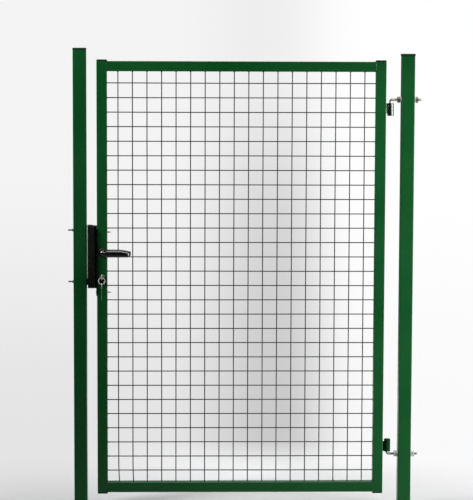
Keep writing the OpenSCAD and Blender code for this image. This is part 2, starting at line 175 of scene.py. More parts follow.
class Shape:
    """A mesh under construction, in metres.

    Attributes:
        WELD: Distance under which points are merged.
        FLAT: Angle under which neighbouring faces count as one flat area.
    """

    WELD = 1e-6
    FLAT = radians(1)

    def __init__(self) -> None:
        """Start with nothing."""
        self.bm = bmesh.new()

    @classmethod
    def block(cls, size: Sequence[float], rounding: float, segments: int = 3) -> "Shape":
        """A block centred on the origin with rounded edges.

        Args:
            size: Lengths along X, Y and Z.
            rounding: Radius of the edges.
            segments: Faces across a rounded edge.
        Returns:
            The new shape.
        """
        shape = cls()
        bmesh.ops.create_cube(shape.bm, size=1.0)
        bmesh.ops.scale(shape.bm, vec=Vector(size), verts=shape.bm.verts)
        shape.round_edges(shape.bm.edges[:], rounding, segments)
        return shape

    @classmethod
    def turned(cls, profile: Profile, steps: int = 40, hollow: bool = False) -> "Shape":
        """A shape turned about +Z.

        Args:
            profile: Points as (radius, height), from end to end or around a ring's section.
            steps: Faces around the turn.
            hollow: Whether the profile closes on itself, as for a ring.
        Returns:
            The new shape.
        """
        shape = cls()
        shape._spin(profile, hollow, 2 * pi, steps, 0.0)
        shape.close_up()
        return shape

    @classmethod
    def coil(cls, profile: Profile, turns: float, pitch: float, steps: int = 16) -> "Shape":
        """A closed section that climbs round +Z, with both its ends shut.

        Args:
            profile: The section as (radius, height) points.
            turns: Number of turns.
            pitch: Rise in one turn.
            steps: Faces in one turn.
        Returns:
            The new shape.
        """
        shape = cls()
        count = max(3, round(turns * steps))
        shape._spin(profile, True, 2 * pi * turns, count, pitch * turns / count)
        rims = [edge for edge in shape.bm.edges if edge.is_boundary]
        bmesh.ops.holes_fill(shape.bm, edges=rims, sides=0)
        shape.close_up()
        return shape

    @classmethod
    def loft(cls, sections: Sequence[Section], sides: int = 24) -> "Shape":
        """A skin over cross-sections, shut at both ends.

        Args:
            sections: The cross-sections in order.
            sides: Points on each section.
        Returns:
            The new shape.
        """
        shape = cls()
        rings = [shape._ring(section.point, sides) for section in sections]
        for first, second in zip(rings, rings[1:]):
            bmesh.ops.bridge_loops(shape.bm, edges=first + second)
        bmesh.ops.holes_fill(shape.bm, edges=rings[0] + rings[-1], sides=0)
        shape.close_up()
        return shape

    @classmethod
    def nut(cls, across_flats: float, height: float, bore: float) -> "Shape":
        """A hexagon nut from z = 0 up, its corners and its bore chamfered.

        Args:
            across_flats: Distance between opposite flats.
            height: Height of the nut.
            bore: Diameter of the bore.
        Returns:
            The new shape.
        """
        apothem, hole = across_flats / 2, bore / 2
        lead, face = 0.06 * across_flats, 0.97 * apothem

        def flat(angle: float) -> float:
            """Radius of the hexagon at an angle."""
            return apothem / cos((angle + pi / 6) % (pi / 3) - pi / 6)

        def drop(angle: float) -> float:
            """How far the chamfer comes down at an angle."""
            return (flat(angle) - apothem) * tan(radians(30))

        def outline(radius: ByAngle, level: ByAngle) -> Callable[[float], Vector]:
            """The outline that has a radius and a height at each angle."""
            return lambda a: Vector((radius(a) * cos(a), radius(a) * sin(a), level(a)))

        levels: list[tuple[ByAngle, ByAngle]] = [
            (lambda a: hole, lambda a: lead),
            (lambda a: hole + lead, lambda a: 0.0),
            (lambda a: face, lambda a: 0.0),
            (flat, drop),
            (flat, lambda a: height - drop(a)),
            (lambda a: face, lambda a: height),
            (lambda a: hole + lead, lambda a: height),
            (lambda a: hole, lambda a: height - lead),
        ]
        shape = cls()
        rings = [shape._ring(outline(radius, level), 36) for radius, level in levels]
        for first, second in zip(rings, rings[1:] + rings[:1]):
            bmesh.ops.bridge_loops(shape.bm, edges=first + second)
        shape.close_up()
        return shape

    @classmethod
    def thread(cls, diameter: float, pitch: float, length: float) -> "Shape":
        """A screw thread along +Z from z = 0, its end chamfered.

        Args:
            diameter: Diameter over the crests.
            pitch: Distance from crest to crest.
            length: Length of the threaded part.
        Returns:
            The new shape.
        """
        crest, depth, chamfer, run_out = diameter / 2, 0.6 * pitch, 0.8 * pitch, 2.1 * pitch
        root = crest - depth
        shape = cls.turned([(0, 0), (root, 0), (root, length - chamfer),
                            (root - depth, length), (0, length)], 20)
        sunk = root - 0.1 * pitch
        ridge = [(sunk, 0), (crest, 0.42 * pitch), (crest, 0.56 * pitch), (sunk, 0.96 * pitch)]
        shape.add(cls.coil(ridge, (length - run_out) / pitch, pitch))
        return shape

    @classmethod
    def pellet(cls, radius: float, flatness: float = 1.0) -> "Shape":
        """A small round blob with few faces.

        Args:
            radius: Its radius.
            flatness: Share to which it is flattened along Y.
        Returns:
            The new shape.
        """
        shape = cls()
        bmesh.ops.create_uvsphere(shape.bm, u_segments=8, v_segments=5, radius=radius)
        bmesh.ops.scale(shape.bm, vec=(1.0, flatness, 1.0), verts=shape.bm.verts)
        return shape

    @classmethod
    def of_nodes(cls, *nodes: str) -> "Shape":
        """A clean copy of CAD nodes: welded, with flat areas joined into single faces.

        Args:
            nodes: Their names.
        Returns:
            The new shape.
        """
        shape = cls()
        for node in nodes:
            shape.bm.from_mesh(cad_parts[node].data)
        bmesh.ops.remove_doubles(shape.bm, verts=shape.bm.verts, dist=shape.WELD)
        bmesh.ops.dissolve_limit(shape.bm, angle_limit=shape.FLAT, use_dissolve_boundaries=False,
                                 verts=shape.bm.verts, edges=shape.bm.edges)
        return shape

    def _spin(self, profile: Profile, hollow: bool, angle: float, steps: int, rise: float) -> None:
        """Sweep a profile about +Z.

        Args:
            profile: Points as (radius, height).
            hollow: Whether the profile closes on itself.
            angle: How far it is swept, in radians.
            steps: Number of steps.
            rise: Rise at each step.
        """
        verts = [self.bm.verts.new((r, 0.0, h)) for r, h in profile]
        pairs = list(zip(verts, verts[1:])) + ([(verts[-1], verts[0])] if hollow else [])
        edges = [self.bm.edges.new(pair) for pair in pairs]
        bmesh.ops.spin(self.bm, geom=verts + edges, cent=(0, 0, 0), axis=(0, 0, 1),
                       dvec=(0, 0, rise), angle=angle, steps=steps,
                       use_merge=rise == 0.0, use_duplicate=False)

    def _ring(self, point: Callable[[float], Vector], sides: int) -> list[BMEdge]:
        """Add a closed ring of edges.

        Args:
            point: The place of a corner at an angle.
            sides: Number of corners.
        Returns:
            The ring's edges.
        """
        made = bmesh.ops.create_circle(self.bm, cap_ends=False, segments=sides, radius=1.0)["verts"]
        for vert in made:
            vert.co = point(atan2(vert.co.y, vert.co.x))
        return list({edge for vert in made for edge in vert.link_edges})

    def close_up(self) -> None:
        """Merge doubles and turn the faces outwards."""
        bmesh.ops.remove_doubles(self.bm, verts=self.bm.verts, dist=self.WELD)
        bmesh.ops.recalc_face_normals(self.bm, faces=self.bm.faces)

    def round_edges(self, edges: Sequence[BMEdge], amount: float, segments: int = 2) -> None:
        """Round some edges.

        Args:
            edges: The edges.
            amount: Radius of the rounding.
            segments: Faces across it.
        """
        bmesh.ops.bevel(self.bm, geom=list(edges), offset=amount, offset_type="OFFSET",
                        affect="EDGES", segments=segments, profile=0.5, material=-1,
                        clamp_overlap=True)

    def round_corners(self, amount: float, segments: int = 2, angle: float = 30.0) -> "Shape":
        """Round every edge that is sharper than an angle.

        Args:
            amount: Radius of the rounding.
            segments: Faces across it.
            angle: The angle between an edge's faces, in degrees.
        Returns:
            This shape.
        """
        sharp = [edge for edge in self.bm.edges
                 if edge.is_manifold and edge.calc_face_angle(0.0) > radians(angle)]
        self.round_edges(sharp, amount, segments)
        return self

    def add(self, other: "Shape", place: Matrix | None = None) -> "Shape":
        """Take in a copy of another shape, at a place."""
        return self.add_many(other, [place or Matrix.Identity(4)])

    def add_many(self, other: "Shape", places: Iterable[Matrix]) -> "Shape":
        """Take in a copy of another shape at each of some places.

        Args:
            other: The other shape.
            places: The places; one that mirrors turns the copy's faces outwards again.
        Returns:
            This shape.
        """
        mesh = bpy.data.meshes.new("copy")
        for place in places:
            other.bm.to_mesh(mesh)
            mesh.transform(place)
            if place.determinant() < 0:
                mesh.flip_normals()
            self.bm.from_mesh(mesh)
        bpy.data.meshes.remove(mesh)
        return self

    def moved(self, place: Matrix) -> "Shape":
        """Move the whole shape, and turn its faces outwards again if that mirrors it.

        Args:
            place: The move.
        Returns:
            This shape.
        """
        bmesh.ops.transform(self.bm, matrix=place, verts=self.bm.verts)
        if place.determinant() < 0:
            bmesh.ops.reverse_faces(self.bm, faces=self.bm.faces)
        return self

    def cut(self, tool: "Shape") -> "Shape":
        """Take another closed shape out of this one.

        Args:
            tool: The other shape.
        Returns:
            This shape.
        """
        body, knife = self._loose_object("body"), tool._loose_object("knife")
        modifier = body.modifiers.new("cut", "BOOLEAN")
        modifier.operation, modifier.solver, modifier.object = "DIFFERENCE", "EXACT", knife
        result = bpy.data.meshes.new_from_object(
            body.evaluated_get(bpy.context.evaluated_depsgraph_get()))
        self.bm.clear()
        self.bm.from_mesh(result)
        for leftover in (result, body.data, knife.data):
            bpy.data.meshes.remove(leftover)
        return self

    def _loose_object(self, name: str) -> bpy.types.Object:
        """A plain scene object with a copy of this mesh, for a modifier to work on.

        Args:
            name: Name of the object.
        Returns:
            The object.
        """
        mesh = bpy.data.meshes.new(name)
        self.bm.to_mesh(mesh)
        loose = bpy.data.objects.new(name, mesh)
        bpy.context.scene.collection.objects.link(loose)
        return loose

    def piece(self, name: str, body: Body, finish: "Finish", replaces: Sequence[str] = (),
              crease: float = 35.0) -> bpy.types.Object:
        """Make the finished piece: a dressed object that rides on a body.

        Args:
            name: Name of the piece.
            body: The body it rides on.
            finish: Its finish, which also names its material slot.
            replaces: CAD nodes that it stands for.
            crease: Angle in degrees above which an edge stays sharp.
        Returns:
            The new object.
        """
        mesh = bpy.data.meshes.new(name)
        self.bm.to_mesh(mesh)
        mesh.shade_smooth()
        mesh.set_sharp_from_angle(angle=radians(crease))
        mesh.materials.append(finish.material())
        made = bpy.data.objects.new(name, mesh)
        bpy.context.scene.collection.objects.link(made)
        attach(made, body.value)
        if replaces:
            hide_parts(*replaces)
        log.info("%s: %d faces on %s", name, len(mesh.polygons), body.value)
        return made


def dress_nodes(finish: "Finish", *nodes: str) -> None:
    """Give CAD nodes that stay in sight their finish.

    Args:
        finish: The finish.
        nodes: Their names.
    """
    for node in nodes:
        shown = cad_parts[node]
        if not shown.material_slots:
            shown.data.materials.append(None)
        for held in shown.material_slots:
            held.material = finish.material()
        log.info("%s: dressed", node)


# ---------------------------------------------------------------------------
# Finishes
# ---------------------------------------------------------------------------


class Graph:
    """Adds and links the nodes of one shader tree."""

    def __init__(self, tree: bpy.types.NodeTree) -> None:
        """Work on a tree."""
        self.tree = tree

    def add(self, kind: str, **values: object) -> bpy.types.Node:
        """Add a node.

        Args:
            kind: The node's type.
            values: Values of its properties or, where it has none of that name, of its inputs.
        Returns:
            The node.
        """
        node = self.tree.nodes.new(kind)
        for key, value in values.items():
            if hasattr(node, key):
                setattr(node, key, value)
            else:
                node.inputs[key.replace("_", " ")].default_value = value
        return node

    def link(self, source: bpy.types.NodeSocket, *targets: bpy.types.NodeSocket) -> None:
        """Link one output to inputs."""
        for target in targets:
            self.tree.links.new(source, target)

    def maths(self, operation: str, first: object, second: object = 0.0,
              clamp: bool = False) -> bpy.types.NodeSocket:
        """Work out a value with a Math node.

        Args:
            operation: What it does.
            first: First socket or number.
            second: Second socket or number.
            clamp: Whether the result is held between 0 and 1.
        Returns:
            The result.
        """
        node = self.add("ShaderNodeMath", operation=operation, use_clamp=clamp)
        for socket, value in zip(node.inputs, (first, second)):
            self.feed(value, socket)
        return node.outputs[0]

    def product(self, *factors: object) -> bpy.types.NodeSocket:
        """Multiply sockets or numbers.

        Args:
            factors: Two or more of them.
        Returns:
            The product.
        """
        total = factors[0]
        for factor in factors[1:]:
            total = self.maths("MULTIPLY", total, factor)
        return total

    def vector(self, operation: str, first: bpy.types.NodeSocket,
               second: object = (0.0, 0.0, 0.0)) -> bpy.types.Node:
        """Work on vectors with a Vector Math node.

        Args:
            operation: What it does.
            first: First vector.
            second: Second vector, as a socket or as numbers.
        Returns:
            The node.
        """
        node = self.add("ShaderNodeVectorMath", operation=operation)
        self.link(first, node.inputs[0])
        self.feed(second, node.inputs[1])
        return node

    def split(self, vector: bpy.types.NodeSocket) -> list[bpy.types.NodeSocket]:
        """Take a vector apart.

        Args:
            vector: The vector.
        Returns:
            Its parts along X, Y and Z.
        """
        node = self.add("ShaderNodeSeparateXYZ")
        self.link(vector, node.inputs[0])
        return list(node.outputs)

    def feed(self, value: object, socket: bpy.types.NodeSocket) -> None:
        """Give an input its value.

        Args:
            value: A socket to link, or a value to set.
            socket: The input.
        """
        if isinstance(value, bpy.types.NodeSocket):
            self.link(value, socket)
        else:
            socket.default_value = value

    def ramp(self, value: bpy.types.NodeSocket, low: float, high: float,
             to_low: float = 0.0, to_high: float = 1.0) -> bpy.types.NodeSocket:
        """Map a value smoothly from one range to another.

        Args:
            value: The value.
            low: Start of its range.
            high: End of its range.
            to_low: What the start becomes.
            to_high: What the end becomes.
        Returns:
            The mapped value.
        """
        node = self.add("ShaderNodeMapRange", interpolation_type="SMOOTHSTEP")
        self.link(value, node.inputs["Value"])
        for name, number in (("From Min", low), ("From Max", high),
                             ("To Min", to_low), ("To Max", to_high)):
            node.inputs[name].default_value = number
        return node.outputs["Result"]

    def blend(self, mask: bpy.types.NodeSocket, first: object,
              second: object) -> bpy.types.NodeSocket:
        """Mix two colours by a mask.

        Args:
            mask: 0 for the first colour and 1 for the second.
            first: First colour, or a socket that gives it.
            second: Second colour, or a socket that gives it.
        Returns:
            The mixed colour.
        """
        node = self.add("ShaderNodeMix", data_type="RGBA", blend_type="MIX")
        self.link(mask, node.inputs["Factor"])
        for socket, value in zip((node.inputs[6], node.inputs[7]), (first, second)):
            self.feed((*value, 1.0) if isinstance(value, tuple) else value, socket)
        return node.outputs[2]


class Effect:
    """Node groups that several finishes share, each built once."""

    _made: dict[str, bpy.types.NodeTree] = {}

    @classmethod
    def _group(cls, name: str, inputs: Sequence[tuple[str, str, float]], outputs: Sequence[str]
               ) -> tuple[bpy.types.NodeTree, Graph, bpy.types.Node, bpy.types.Node]:
        """Start a node group with its sockets.

        Args:
            name: Name of the group.
            inputs: (name, socket type, value) of each input.
            outputs: Names of the outputs, all of them values.
        Returns:
            The tree, its graph, its input node and its output node.
        """
        tree = bpy.data.node_groups.new(name, "ShaderNodeTree")
        for label, kind, value in inputs:
            socket = tree.interface.new_socket(label, in_out="INPUT", socket_type=kind)
            if kind == "NodeSocketFloat":
                socket.default_value = value
        for label in outputs:
            tree.interface.new_socket(label, in_out="OUTPUT", socket_type="NodeSocketFloat")
        graph = Graph(tree)
        return tree, graph, graph.add("NodeGroupInput"), graph.add("NodeGroupOutput")

    @classmethod
    def grain(cls) -> bpy.types.NodeTree:
        """Uneven tone and small relief.

        Returns:
            A group that gives Tone and Height from Vector, Scale and Spread.
        """
        if "grain" not in cls._made:
            tree, graph, given, out = cls._group(
                "gate grain", [("Vector", "NodeSocketVector", 0), ("Scale", "NodeSocketFloat", 300),
                               ("Spread", "NodeSocketFloat", 5)], ["Tone", "Height"])
            fine = graph.add("ShaderNodeTexNoise", Detail=3.0, Roughness=0.55)
            broad = graph.add("ShaderNodeTexNoise", Detail=2.0, Roughness=0.5)
            graph.link(given.outputs["Vector"], fine.inputs["Vector"], broad.inputs["Vector"])
            graph.link(given.outputs["Scale"], fine.inputs["Scale"])
            graph.link(given.outputs["Spread"], broad.inputs["Scale"])
            mixed = graph.maths("ADD", graph.product(broad.outputs["Fac"], 0.7),
                                graph.product(fine.outputs["Fac"], 0.3))
            graph.link(graph.ramp(mixed, 0.35, 0.65), out.inputs["Tone"])
            graph.link(fine.outputs["Fac"], out.inputs["Height"])
            cls._made["grain"] = tree
        return cls._made["grain"]

    @classmethod
    def dust(cls) -> bpy.types.NodeTree:
        """Dust on what faces up.

        Returns:
            A group that gives Mask from Vector and Amount.
        """
        if "dust" not in cls._made:
            tree, graph, given, out = cls._group(
                "gate dust", [("Vector", "NodeSocketVector", 0),
                              ("Amount", "NodeSocketFloat", 0.3)], ["Mask"])
            facing = graph.add("ShaderNodeNewGeometry")
            up = graph.ramp(graph.split(facing.outputs["Normal"])[2], 0.3, 0.95)
            specks = graph.add("ShaderNodeTexNoise", Scale=60.0, Detail=4.0, Roughness=0.7)
            graph.link(given.outputs["Vector"], specks.inputs["Vector"])
            patchy = graph.product(up, graph.ramp(specks.outputs["Fac"], 0.3, 0.7))
            graph.link(graph.maths("MULTIPLY", patchy, given.outputs["Amount"], clamp=True),
                       out.inputs["Mask"])
            cls._made["dust"] = tree
        return cls._made["dust"]

    @classmethod
    def rubbed(cls) -> bpy.types.NodeTree:
        """Where edges are rubbed.

        Returns:
            A group that gives Mask from Vector, Width and Amount.
        """
        if "rubbed" not in cls._made:
            tree, graph, given, out = cls._group(
                "gate rubbed edge", [("Vector", "NodeSocketVector", 0),
                                     ("Width", "NodeSocketFloat", 0.001),
                                     ("Amount", "NodeSocketFloat", 0.5)], ["Mask"])
            soft = graph.add("ShaderNodeBevel", samples=4)
            hard = graph.add("ShaderNodeNewGeometry")
            graph.link(given.outputs["Width"], soft.inputs["Radius"])
            alike = graph.vector("DOT_PRODUCT", soft.outputs["Normal"], hard.outputs["Normal"])
            edge = graph.ramp(alike.outputs["Value"], 0.98, 0.8)
            chips = graph.add("ShaderNodeTexNoise", Scale=900.0, Detail=3.0, Roughness=0.6)
            graph.link(given.outputs["Vector"], chips.inputs["Vector"])
            broken = graph.product(edge, graph.ramp(chips.outputs["Fac"], 0.35, 0.6))
            graph.link(graph.maths("MULTIPLY", broken, given.outputs["Amount"], clamp=True),
                       out.inputs["Mask"])
            cls._made["rubbed"] = tree
        return cls._made["rubbed"]


DUST: Colour = (0.36, 0.35, 0.31)
DUST_ROUGHENS = 0.4
COAT_ROUGH = 0.08


@dataclass(frozen=True)
class Finish:
    """How a material looks, and the slot of the record that it stands for.

    Attributes:
        slot: The record's material slot.
        colour: Main colour.
        shade: Second colour, where the tone is lowest.
        rough: Lowest and highest roughness.
        metal: Metallic share.
        gloss: Specular level.
        coat: Clear coat over it.
        grain_scale: Grains in a metre.
        grain_depth: Height of the grain's relief.
        spread: Patches in a metre.
        stretch: How the grain is drawn out along X, Y and Z.
        dusty: How much dust lies on what faces up.
        worn: How far the edges are rubbed.
        worn_colour: Colour under a rubbed edge.
        variant: What sets it apart from the slot's main finish.
        painted_shade_between: Heights between which it darkens towards the ground: painted shade.
        painted_shade: Colour of that painted shade.
    """

    slot: str
    colour: Colour
    shade: Colour
    rough: tuple[float, float]
    metal: float = 0.0
    gloss: float = 0.5
    coat: float = 0.0
    grain_scale: float = 320.0
    grain_depth: float = 0.0001
    spread: float = 4.0
    stretch: Triple = (1.0, 1.0, 1.0)
    dusty: float = 0.1
    worn: float = 0.0
    worn_colour: Colour = (0.4, 0.4, 0.4)
    variant: str = ""
    painted_shade_between: tuple[float, float] | None = None
    painted_shade: Colour = (0.010, 0.014, 0.010)

    @property
    def name(self) -> str:
        """Name of the finish's material."""
        return self.slot + self.variant + "_finish"

    def material(self) -> bpy.types.Material:
        """The finish as a node material, built on first use."""
        return bpy.data.materials.get(self.name) or self._build()

    def _build(self) -> bpy.types.Material:
        """Build the node material.

        Returns:
            The material.
        """
        made = bpy.data.materials.new(self.name)
        made.use_nodes = True
        graph = Graph(made.node_tree)
        shader = made.node_tree.nodes["Principled BSDF"]
        shader.inputs["Metallic"].default_value = self.metal
        shader.inputs["Specular IOR Level"].default_value = self.gloss
        shader.inputs["Coat Weight"].default_value = self.coat
        shader.inputs["Coat Roughness"].default_value = COAT_ROUGH

        spot = graph.add("ShaderNodeTexCoord").outputs["Object"]
        drawn = graph.add("ShaderNodeMapping")
        graph.link(spot, drawn.inputs["Vector"])
        drawn.inputs["Scale"].default_value = self.stretch
        grain = self._group(graph, Effect.grain(), drawn.outputs["Vector"],
                            Scale=self.grain_scale, Spread=self.spread)
        colour = graph.blend(grain.outputs["Tone"], self.shade, self.colour)
        rough = graph.ramp(grain.outputs["Tone"], 0.0, 1.0, *self.rough)
        # Painted shade: below the given heights the colour turns to a darker painted colour.
        if self.painted_shade_between:
            below = graph.ramp(graph.split(spot)[2], *reversed(self.painted_shade_between))
            colour = graph.blend(below, colour, self.painted_shade)
        if self.worn:
            rubbed = self._group(graph, Effect.rubbed(), spot, Amount=self.worn)
            colour = graph.blend(rubbed.outputs["Mask"], colour, self.worn_colour)
        if self.dusty:
            dust = self._group(graph, Effect.dust(), spot, Amount=self.dusty)
            colour = graph.blend(dust.outputs["Mask"], colour, DUST)
            rough = graph.maths("ADD", rough, graph.product(dust.outputs["Mask"], DUST_ROUGHENS),
                                clamp=True)
        graph.link(colour, shader.inputs["Base Color"])
        graph.link(rough, shader.inputs["Roughness"])
        relief = graph.add("ShaderNodeBump", Strength=1.0, Distance=self.grain_depth)
        graph.link(grain.outputs["Height"], relief.inputs["Height"])
        graph.link(relief.outputs["Normal"], shader.inputs["Normal"])
        return made

    @staticmethod
    def _group(graph: Graph, tree: bpy.types.NodeTree, vector: bpy.types.NodeSocket,
               **values: float) -> bpy.types.Node:
        """Place a shared effect in a material.

        Args:
            graph: The material's nodes.
            tree: The effect.
            vector: What its patterns follow.
            values: Values of its other inputs.
        Returns:
            The effect's node.
        """
        node = graph.add("ShaderNodeGroup", node_tree=tree)
        graph.link(vector, node.inputs["Vector"])
        for name, value in values.items():
            node.inputs[name].default_value = value
        return node


GREEN_PAINT = Finish("green_paint", colour=(0.0022, 0.080, 0.0150), shade=(0.0018, 0.070, 0.0135),
                     rough=(0.34, 0.42), gloss=0.26, grain_scale=380, grain_depth=0.00006,
                     dusty=0.06)
EYE_PAINT = Finish("eye_paint", colour=(0.0030, 0.042, 0.0120), shade=(0.0022, 0.032, 0.0095),
                   rough=(0.50, 0.60), gloss=0.05, grain_scale=600, grain_depth=0.00003, spread=40)
BRIGHT_EYE = replace(EYE_PAINT, variant="_bright", colour=(0.0022, 0.030, 0.0090),
                     shade=(0.0016, 0.022, 0.0070), rough=(0.20, 0.28), gloss=1.0, coat=0.25)
MESH_WIRE = Finish("mesh_wire", colour=(0.0080, 0.024, 0.0140), shade=(0.0060, 0.018, 0.0110),
                   rough=(0.30, 0.42), grain_scale=900, grain_depth=0.00004, spread=12)
CAP_PLASTIC = Finish("cap_plastic", colour=(0.006, 0.016, 0.006), shade=(0.005, 0.012, 0.005),
                     rough=(0.45, 0.58), gloss=0.25, grain_scale=1400, grain_depth=0.00008,
                     spread=30, dusty=0.06)
# Zinc plate whose green tint is a painted reflection of the green paint around it.
ZINC_PLATE = Finish("zinc_plate", colour=(0.66, 0.90, 0.74), shade=(0.56, 0.78, 0.64),
                    rough=(0.36, 0.50), metal=0.05, grain_scale=500, grain_depth=0.00003,
                    spread=60)
ZINC_STEEL = Finish("zinc_steel", colour=(0.72, 0.70, 0.67), shade=(0.54, 0.52, 0.49),
                    rough=(0.30, 0.45), metal=0.3, grain_scale=700, grain_depth=0.00004,
                    spread=90, worn=0.5, worn_colour=(0.72, 0.71, 0.68))
# A darker zinc; on the upper hinge's nuts it is painted shade.
DARK_ZINC = replace(ZINC_STEEL, variant="_dark", colour=(0.32, 0.30, 0.27),
                    shade=(0.17, 0.16, 0.14), metal=0.6, worn_colour=(0.5, 0.48, 0.44))
# A darker, more metallic copy of the zinc for the lower hook: painted shade.
SHADED_ZINC = replace(ZINC_STEEL, variant="_shaded", colour=(0.50, 0.48, 0.45),
                     shade=(0.36, 0.34, 0.32), metal=0.8, worn_colour=(0.55, 0.53, 0.50))
BLACK_PLASTIC = Finish("black_plastic", colour=(0.0080, 0.0098, 0.0080),
                       shade=(0.0060, 0.0074, 0.0060), rough=(0.50, 0.62), gloss=0.06,
                       grain_scale=1600, grain_depth=0.00008, spread=25, dusty=0.0,
                       worn=0.2, worn_colour=(0.012, 0.012, 0.012))
BLACK_STEEL = Finish("black_steel", colour=(0.008, 0.010, 0.008), shade=(0.006, 0.007, 0.006),
                     rough=(0.40, 0.52), gloss=0.25, grain_scale=500, grain_depth=0.00004,
                     spread=40, worn=0.5, worn_colour=(0.12, 0.12, 0.11))
LEVER_BLACK = Finish("lever_black", colour=(0.0050, 0.0050, 0.0050),
                     shade=(0.0035, 0.0035, 0.0035), rough=(0.12, 0.20), gloss=1.0, coat=1.0,
                     grain_scale=900, grain_depth=0.00002, spread=30)
ROSE_BLACK = replace(LEVER_BLACK, variant="_rose", rough=(0.34, 0.44), gloss=0.3, coat=0.0)
NICKEL = Finish("nickel", colour=(0.66, 0.63, 0.57), shade=(0.50, 0.47, 0.42),
                rough=(0.20, 0.34), metal=1.0, grain_scale=1200, grain_depth=0.00002,
                spread=120, worn=0.4, worn_colour=(0.75, 0.68, 0.50))
KEY_STEEL = Finish("key_steel", colour=(0.95, 0.96, 0.93), shade=(0.86, 0.87, 0.84),
                   rough=(0.16, 0.30), metal=0.15, gloss=1.0, coat=0.8, grain_scale=1200,
                   grain_depth=0.00002, spread=150)


# ---------------------------------------------------------------------------
# The gate
# ---------------------------------------------------------------------------


@dataclass
class WeldBead:
    """A weld bead between two points, a little uneven.

    Attributes:
        radius: Half the width of the bead.
        step: Distance from ripple to ripple.
        ripple: Share by which it swells and narrows from step to step.
        uneven: Largest share by which a step strays from that.
        end: Share of the radius at both ends.
        chance: Source of the unevenness.
    """

    radius: float = 1.7 * MM
    step: float = 1.6 * MM
    ripple: float = 0.10
    uneven: float = 0.08
    end: float = 0.45
    chance: random.Random = field(default_factory=lambda: random.Random(7))

    def run(self, start: Vector, end: Vector) -> Shape:
        """Make the bead.

        Args:
            start: Where it starts.
            end: Where it ends.
        Returns:
            The bead, in place.
        """
        along = (end - start).normalized()
        turn = along.to_track_quat("Z", "Y").to_matrix().to_4x4()
        count = max(4, ceil((end - start).length / self.step))
        sections = []
        for i in range(count + 1):
            t = i / count
            swell = 1.0 + self.ripple * (-1) ** i + self.chance.uniform(-self.uneven, self.uneven)
            taper = self.end if i in (0, count) else 1.0
            size = self.radius * swell * taper
            sections.append(Section(Matrix.Translation(start.lerp(end, t)) @ turn, size, size))
        return Shape.loft(sections, 8)


@dataclass
class TubeCap:
    """A plastic cap pushed into a square tube.

    Attributes:
        cover: Thickness of the cover.
        crown: How far the cover's top stands up in its middle.
        corner: Radius of the upright corners.
        insets: Widths of the two slopes on the cover, each half as high as the crown.
        rounding: Radius of the cover's edges.
        plug: Depth of the plug in the tube.
        wall: Wall of the tube, with the plug's play.
        overlap: How far the plug reaches into the cover.
    """

    cover: float
    crown: float = 0.9 * MM
    corner: float = 3.2 * MM
    insets: tuple[float, float] = (1 * MM, 5 * MM)
    rounding: float = 0.5 * MM
    plug: float = 12 * MM
    wall: float = 2.2 * MM
    overlap: float = 0.5 * MM

    def shape(self, side: float) -> Shape:
        """A cap whose cover has its underside at z = 0.

        Args:
            side: Width of the cover.
        Returns:
            The cap.
        """
        rim = self.cover - self.crown
        made = Shape()
        bmesh.ops.create_cube(made.bm, size=1.0)
        bmesh.ops.scale(made.bm, vec=(side, side, rim), verts=made.bm.verts)
        bmesh.ops.translate(made.bm, vec=(0, 0, rim / 2), verts=made.bm.verts)
        upright = [edge for edge in made.bm.edges
                   if abs(edge.verts[0].co.z - edge.verts[1].co.z) > rim / 2]
        made.round_edges(upright, self.corner, 5)
        top = [face for face in made.bm.faces if face.normal.z > 0.9]
        for inset in self.insets:
            bmesh.ops.inset_region(made.bm, faces=top, thickness=inset, depth=self.crown / 2)
        made.round_corners(self.rounding)
        tongue = Shape.block((side - 2 * self.wall, side - 2 * self.wall, self.plug), 1 * MM)
        return made.add(tongue, Matrix.Translation((0, 0, -self.plug / 2 + self.overlap)))


@dataclass
class Posts:
    """The two square posts with their caps.

    Attributes:
        latch_overhang: How far the latch post's cap stands out past the post.
        hinge_overhang: The same at the hinge post.
        latch_cover: Thickness of the latch post's cap.
        hinge_cover: The same at the hinge post.
    """

    latch_overhang: float = 0.4 * MM
    hinge_overhang: float = 1.2 * MM
    latch_cover: float = 6 * MM
    hinge_cover: float = 7.6 * MM

    def build(self) -> None:
        """Dress the tubes and cap them."""
        dress_nodes(GREEN_PAINT, "latch_post", "hinge_post")
        self.cap("latch_post", self.latch_overhang, TubeCap(cover=self.latch_cover))
        self.cap("hinge_post", self.hinge_overhang, TubeCap(cover=self.hinge_cover))

    def cap(self, post: str, overhang: float, cap: TubeCap) -> None:
        """Cap a post, keeping the height of its CAD cap.

        Args:
            post: The post's node.
            overhang: How far the cap stands out past the post.
            cap: The kind of cap.
        """
        tube, old = Box.of(post), Box.of(post + "_cap")
        foot = Vector((tube.centre.x, tube.centre.y, old.high.z - cap.cover))
        cap.shape(tube.size.x + 2 * overhang).moved(Matrix.Translation(foot)).piece(
            post + "_cap_moulded", Body.POSTS, CAP_PLASTIC, [post + "_cap"])


